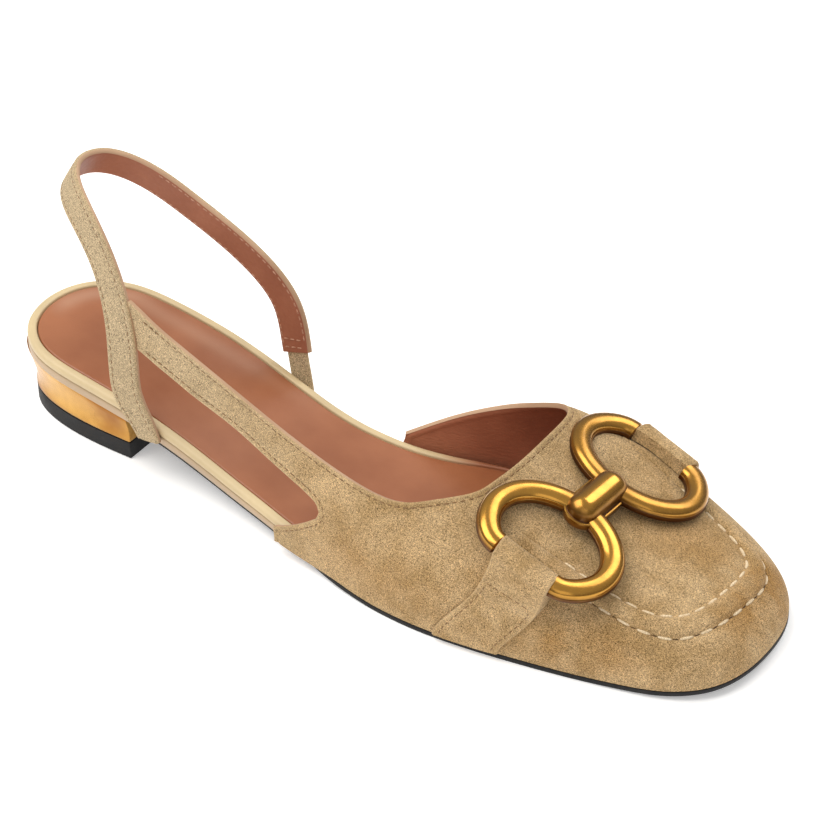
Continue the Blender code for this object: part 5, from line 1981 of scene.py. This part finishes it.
@dataclass
class Studio:
    """Pale floor, soft lights and the camera at the photograph's angle."""

    site: Site
    target: tuple[float, float, float] = (113.65, 28.64, 13.51)
    distance: float = 1000.0
    azimuth: float = 34.02
    elevation: float = 35.97
    focal_pixels: float = 3388.5
    image_pixels: float = 822.0
    sensor: float = 36.0

    def floor(self) -> None:
        """Wide pale floor."""
        Bench.clear()
        bpy.ops.mesh.primitive_plane_add(size=12.0)
        item = bpy.context.object
        item.name = "studio_floor"
        material, sheet, shader = principled("studio_floor_white", Roughness=0.9, Specular_IOR_Level=0.05,
                                             Emission_Color=full((1.0, 1.0, 1.0)), Emission_Strength=0.30)
        tone = sheet.span(sheet.noise(2.0), 0.0, 1.0, 0.955, 0.965)
        sheet.wire(shader, Base_Color=sheet.grey(tone))
        Bench.wear(item, [material])

    def lamp(self, name: str, place: tuple[float, float, float], size: float, power: float,
             colour: Colour) -> None:
        """Square soft light that looks at the shoe."""
        data = bpy.data.lights.new(name, "AREA")
        data.shape = "SQUARE"
        data.size = size
        data.energy = power
        data.color = colour
        item = bpy.data.objects.new(name, data)
        item.location = place
        aim = Vector((0.0, 0.0, 0.03)) - Vector(place)
        item.rotation_euler = aim.to_track_quat("-Z", "Y").to_euler()
        bpy.context.scene.collection.objects.link(item)

    def lights(self) -> None:
        """Sky and three lamps."""
        world = bpy.data.worlds.new("studio_world")
        bpy.context.scene.world = world
        world.use_nodes = True
        sheet = NodeSheet(world.node_tree)
        up = sheet.add("SeparateXYZ", {0: sheet.add("TexCoord").outputs["Generated"]}).outputs[2]
        share = sheet.span(up, -0.1, 0.75)
        tone = sheet.mix(share, (0.22, 0.20, 0.18, 1.0), (1.0, 0.99, 0.97, 1.0))
        back = sheet.add("Background", {"Color": tone, "Strength": 0.62})
        out = sheet.add("OutputWorld")
        sheet.tree.links.new(back.outputs[0], out.inputs[0])
        self.lamp("key", (-0.58, -0.42, 1.30), 1.2, 17.0, (1.0, 0.975, 0.94))
        self.lamp("fill", (0.75, -0.95, 0.75), 0.9, 2.0, (1.0, 0.98, 0.96))
        self.lamp("back", (0.25, 0.95, 1.1), 0.8, 7.0, (1.0, 0.985, 0.97))

    def camera(self) -> None:
        """Camera of the photograph."""
        azimuth = math.radians(self.azimuth)
        elevation = math.radians(self.elevation)
        right = Vector((math.cos(azimuth), math.sin(azimuth), 0.0))
        back = Vector((math.sin(azimuth) * math.cos(elevation), -math.cos(azimuth) * math.cos(elevation),
                       math.sin(elevation)))
        up = back.cross(right)
        data = bpy.data.cameras.new("photo_camera")
        data.sensor_fit = "HORIZONTAL"
        data.sensor_width = self.sensor
        data.lens = self.focal_pixels / self.image_pixels * self.sensor
        data.clip_start = 0.05
        data.clip_end = 50.0
        item = bpy.data.objects.new("photo_camera", data)
        place = Vector(self.site.metres(self.target)) + back * (self.distance * MM)
        item.matrix_world = Matrix.Translation(place) @ Matrix((right, up, back)).transposed().to_4x4()
        bpy.context.scene.collection.objects.link(item)
        bpy.context.scene.camera = item

    def build(self) -> None:
        """Set the stage."""
        self.floor()
        self.lights()
        self.camera()
        view = bpy.context.scene.view_settings
        view.view_transform = "Standard"
        view.look = "None"


def main() -> None:
    """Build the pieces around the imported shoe."""
    logging.basicConfig(level=logging.INFO, format="%(relativeCreated)d ms %(message)s")
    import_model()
    site = Site.read()
    palette = Palette()
    sole_form = SoleForm()
    upper_form = UpperForm(sole_form)
    sole = SoleUnit(sole_form, site, palette)
    sole.outsole()
    sole.footbed()
    sole.sock()
    HeelUnit(sole_form, site, palette).build()
    shell = UpperShell(upper_form, site, palette)
    shell.build()
    sling = SlingStrap(sole_form, site, palette)
    sling.build()
    tops = RingSet(upper_form, site, palette).build()
    Stitching(shell, sling, site, palette).build(tops)
    Studio(site).build()


if __name__ == "__main__":
    main()
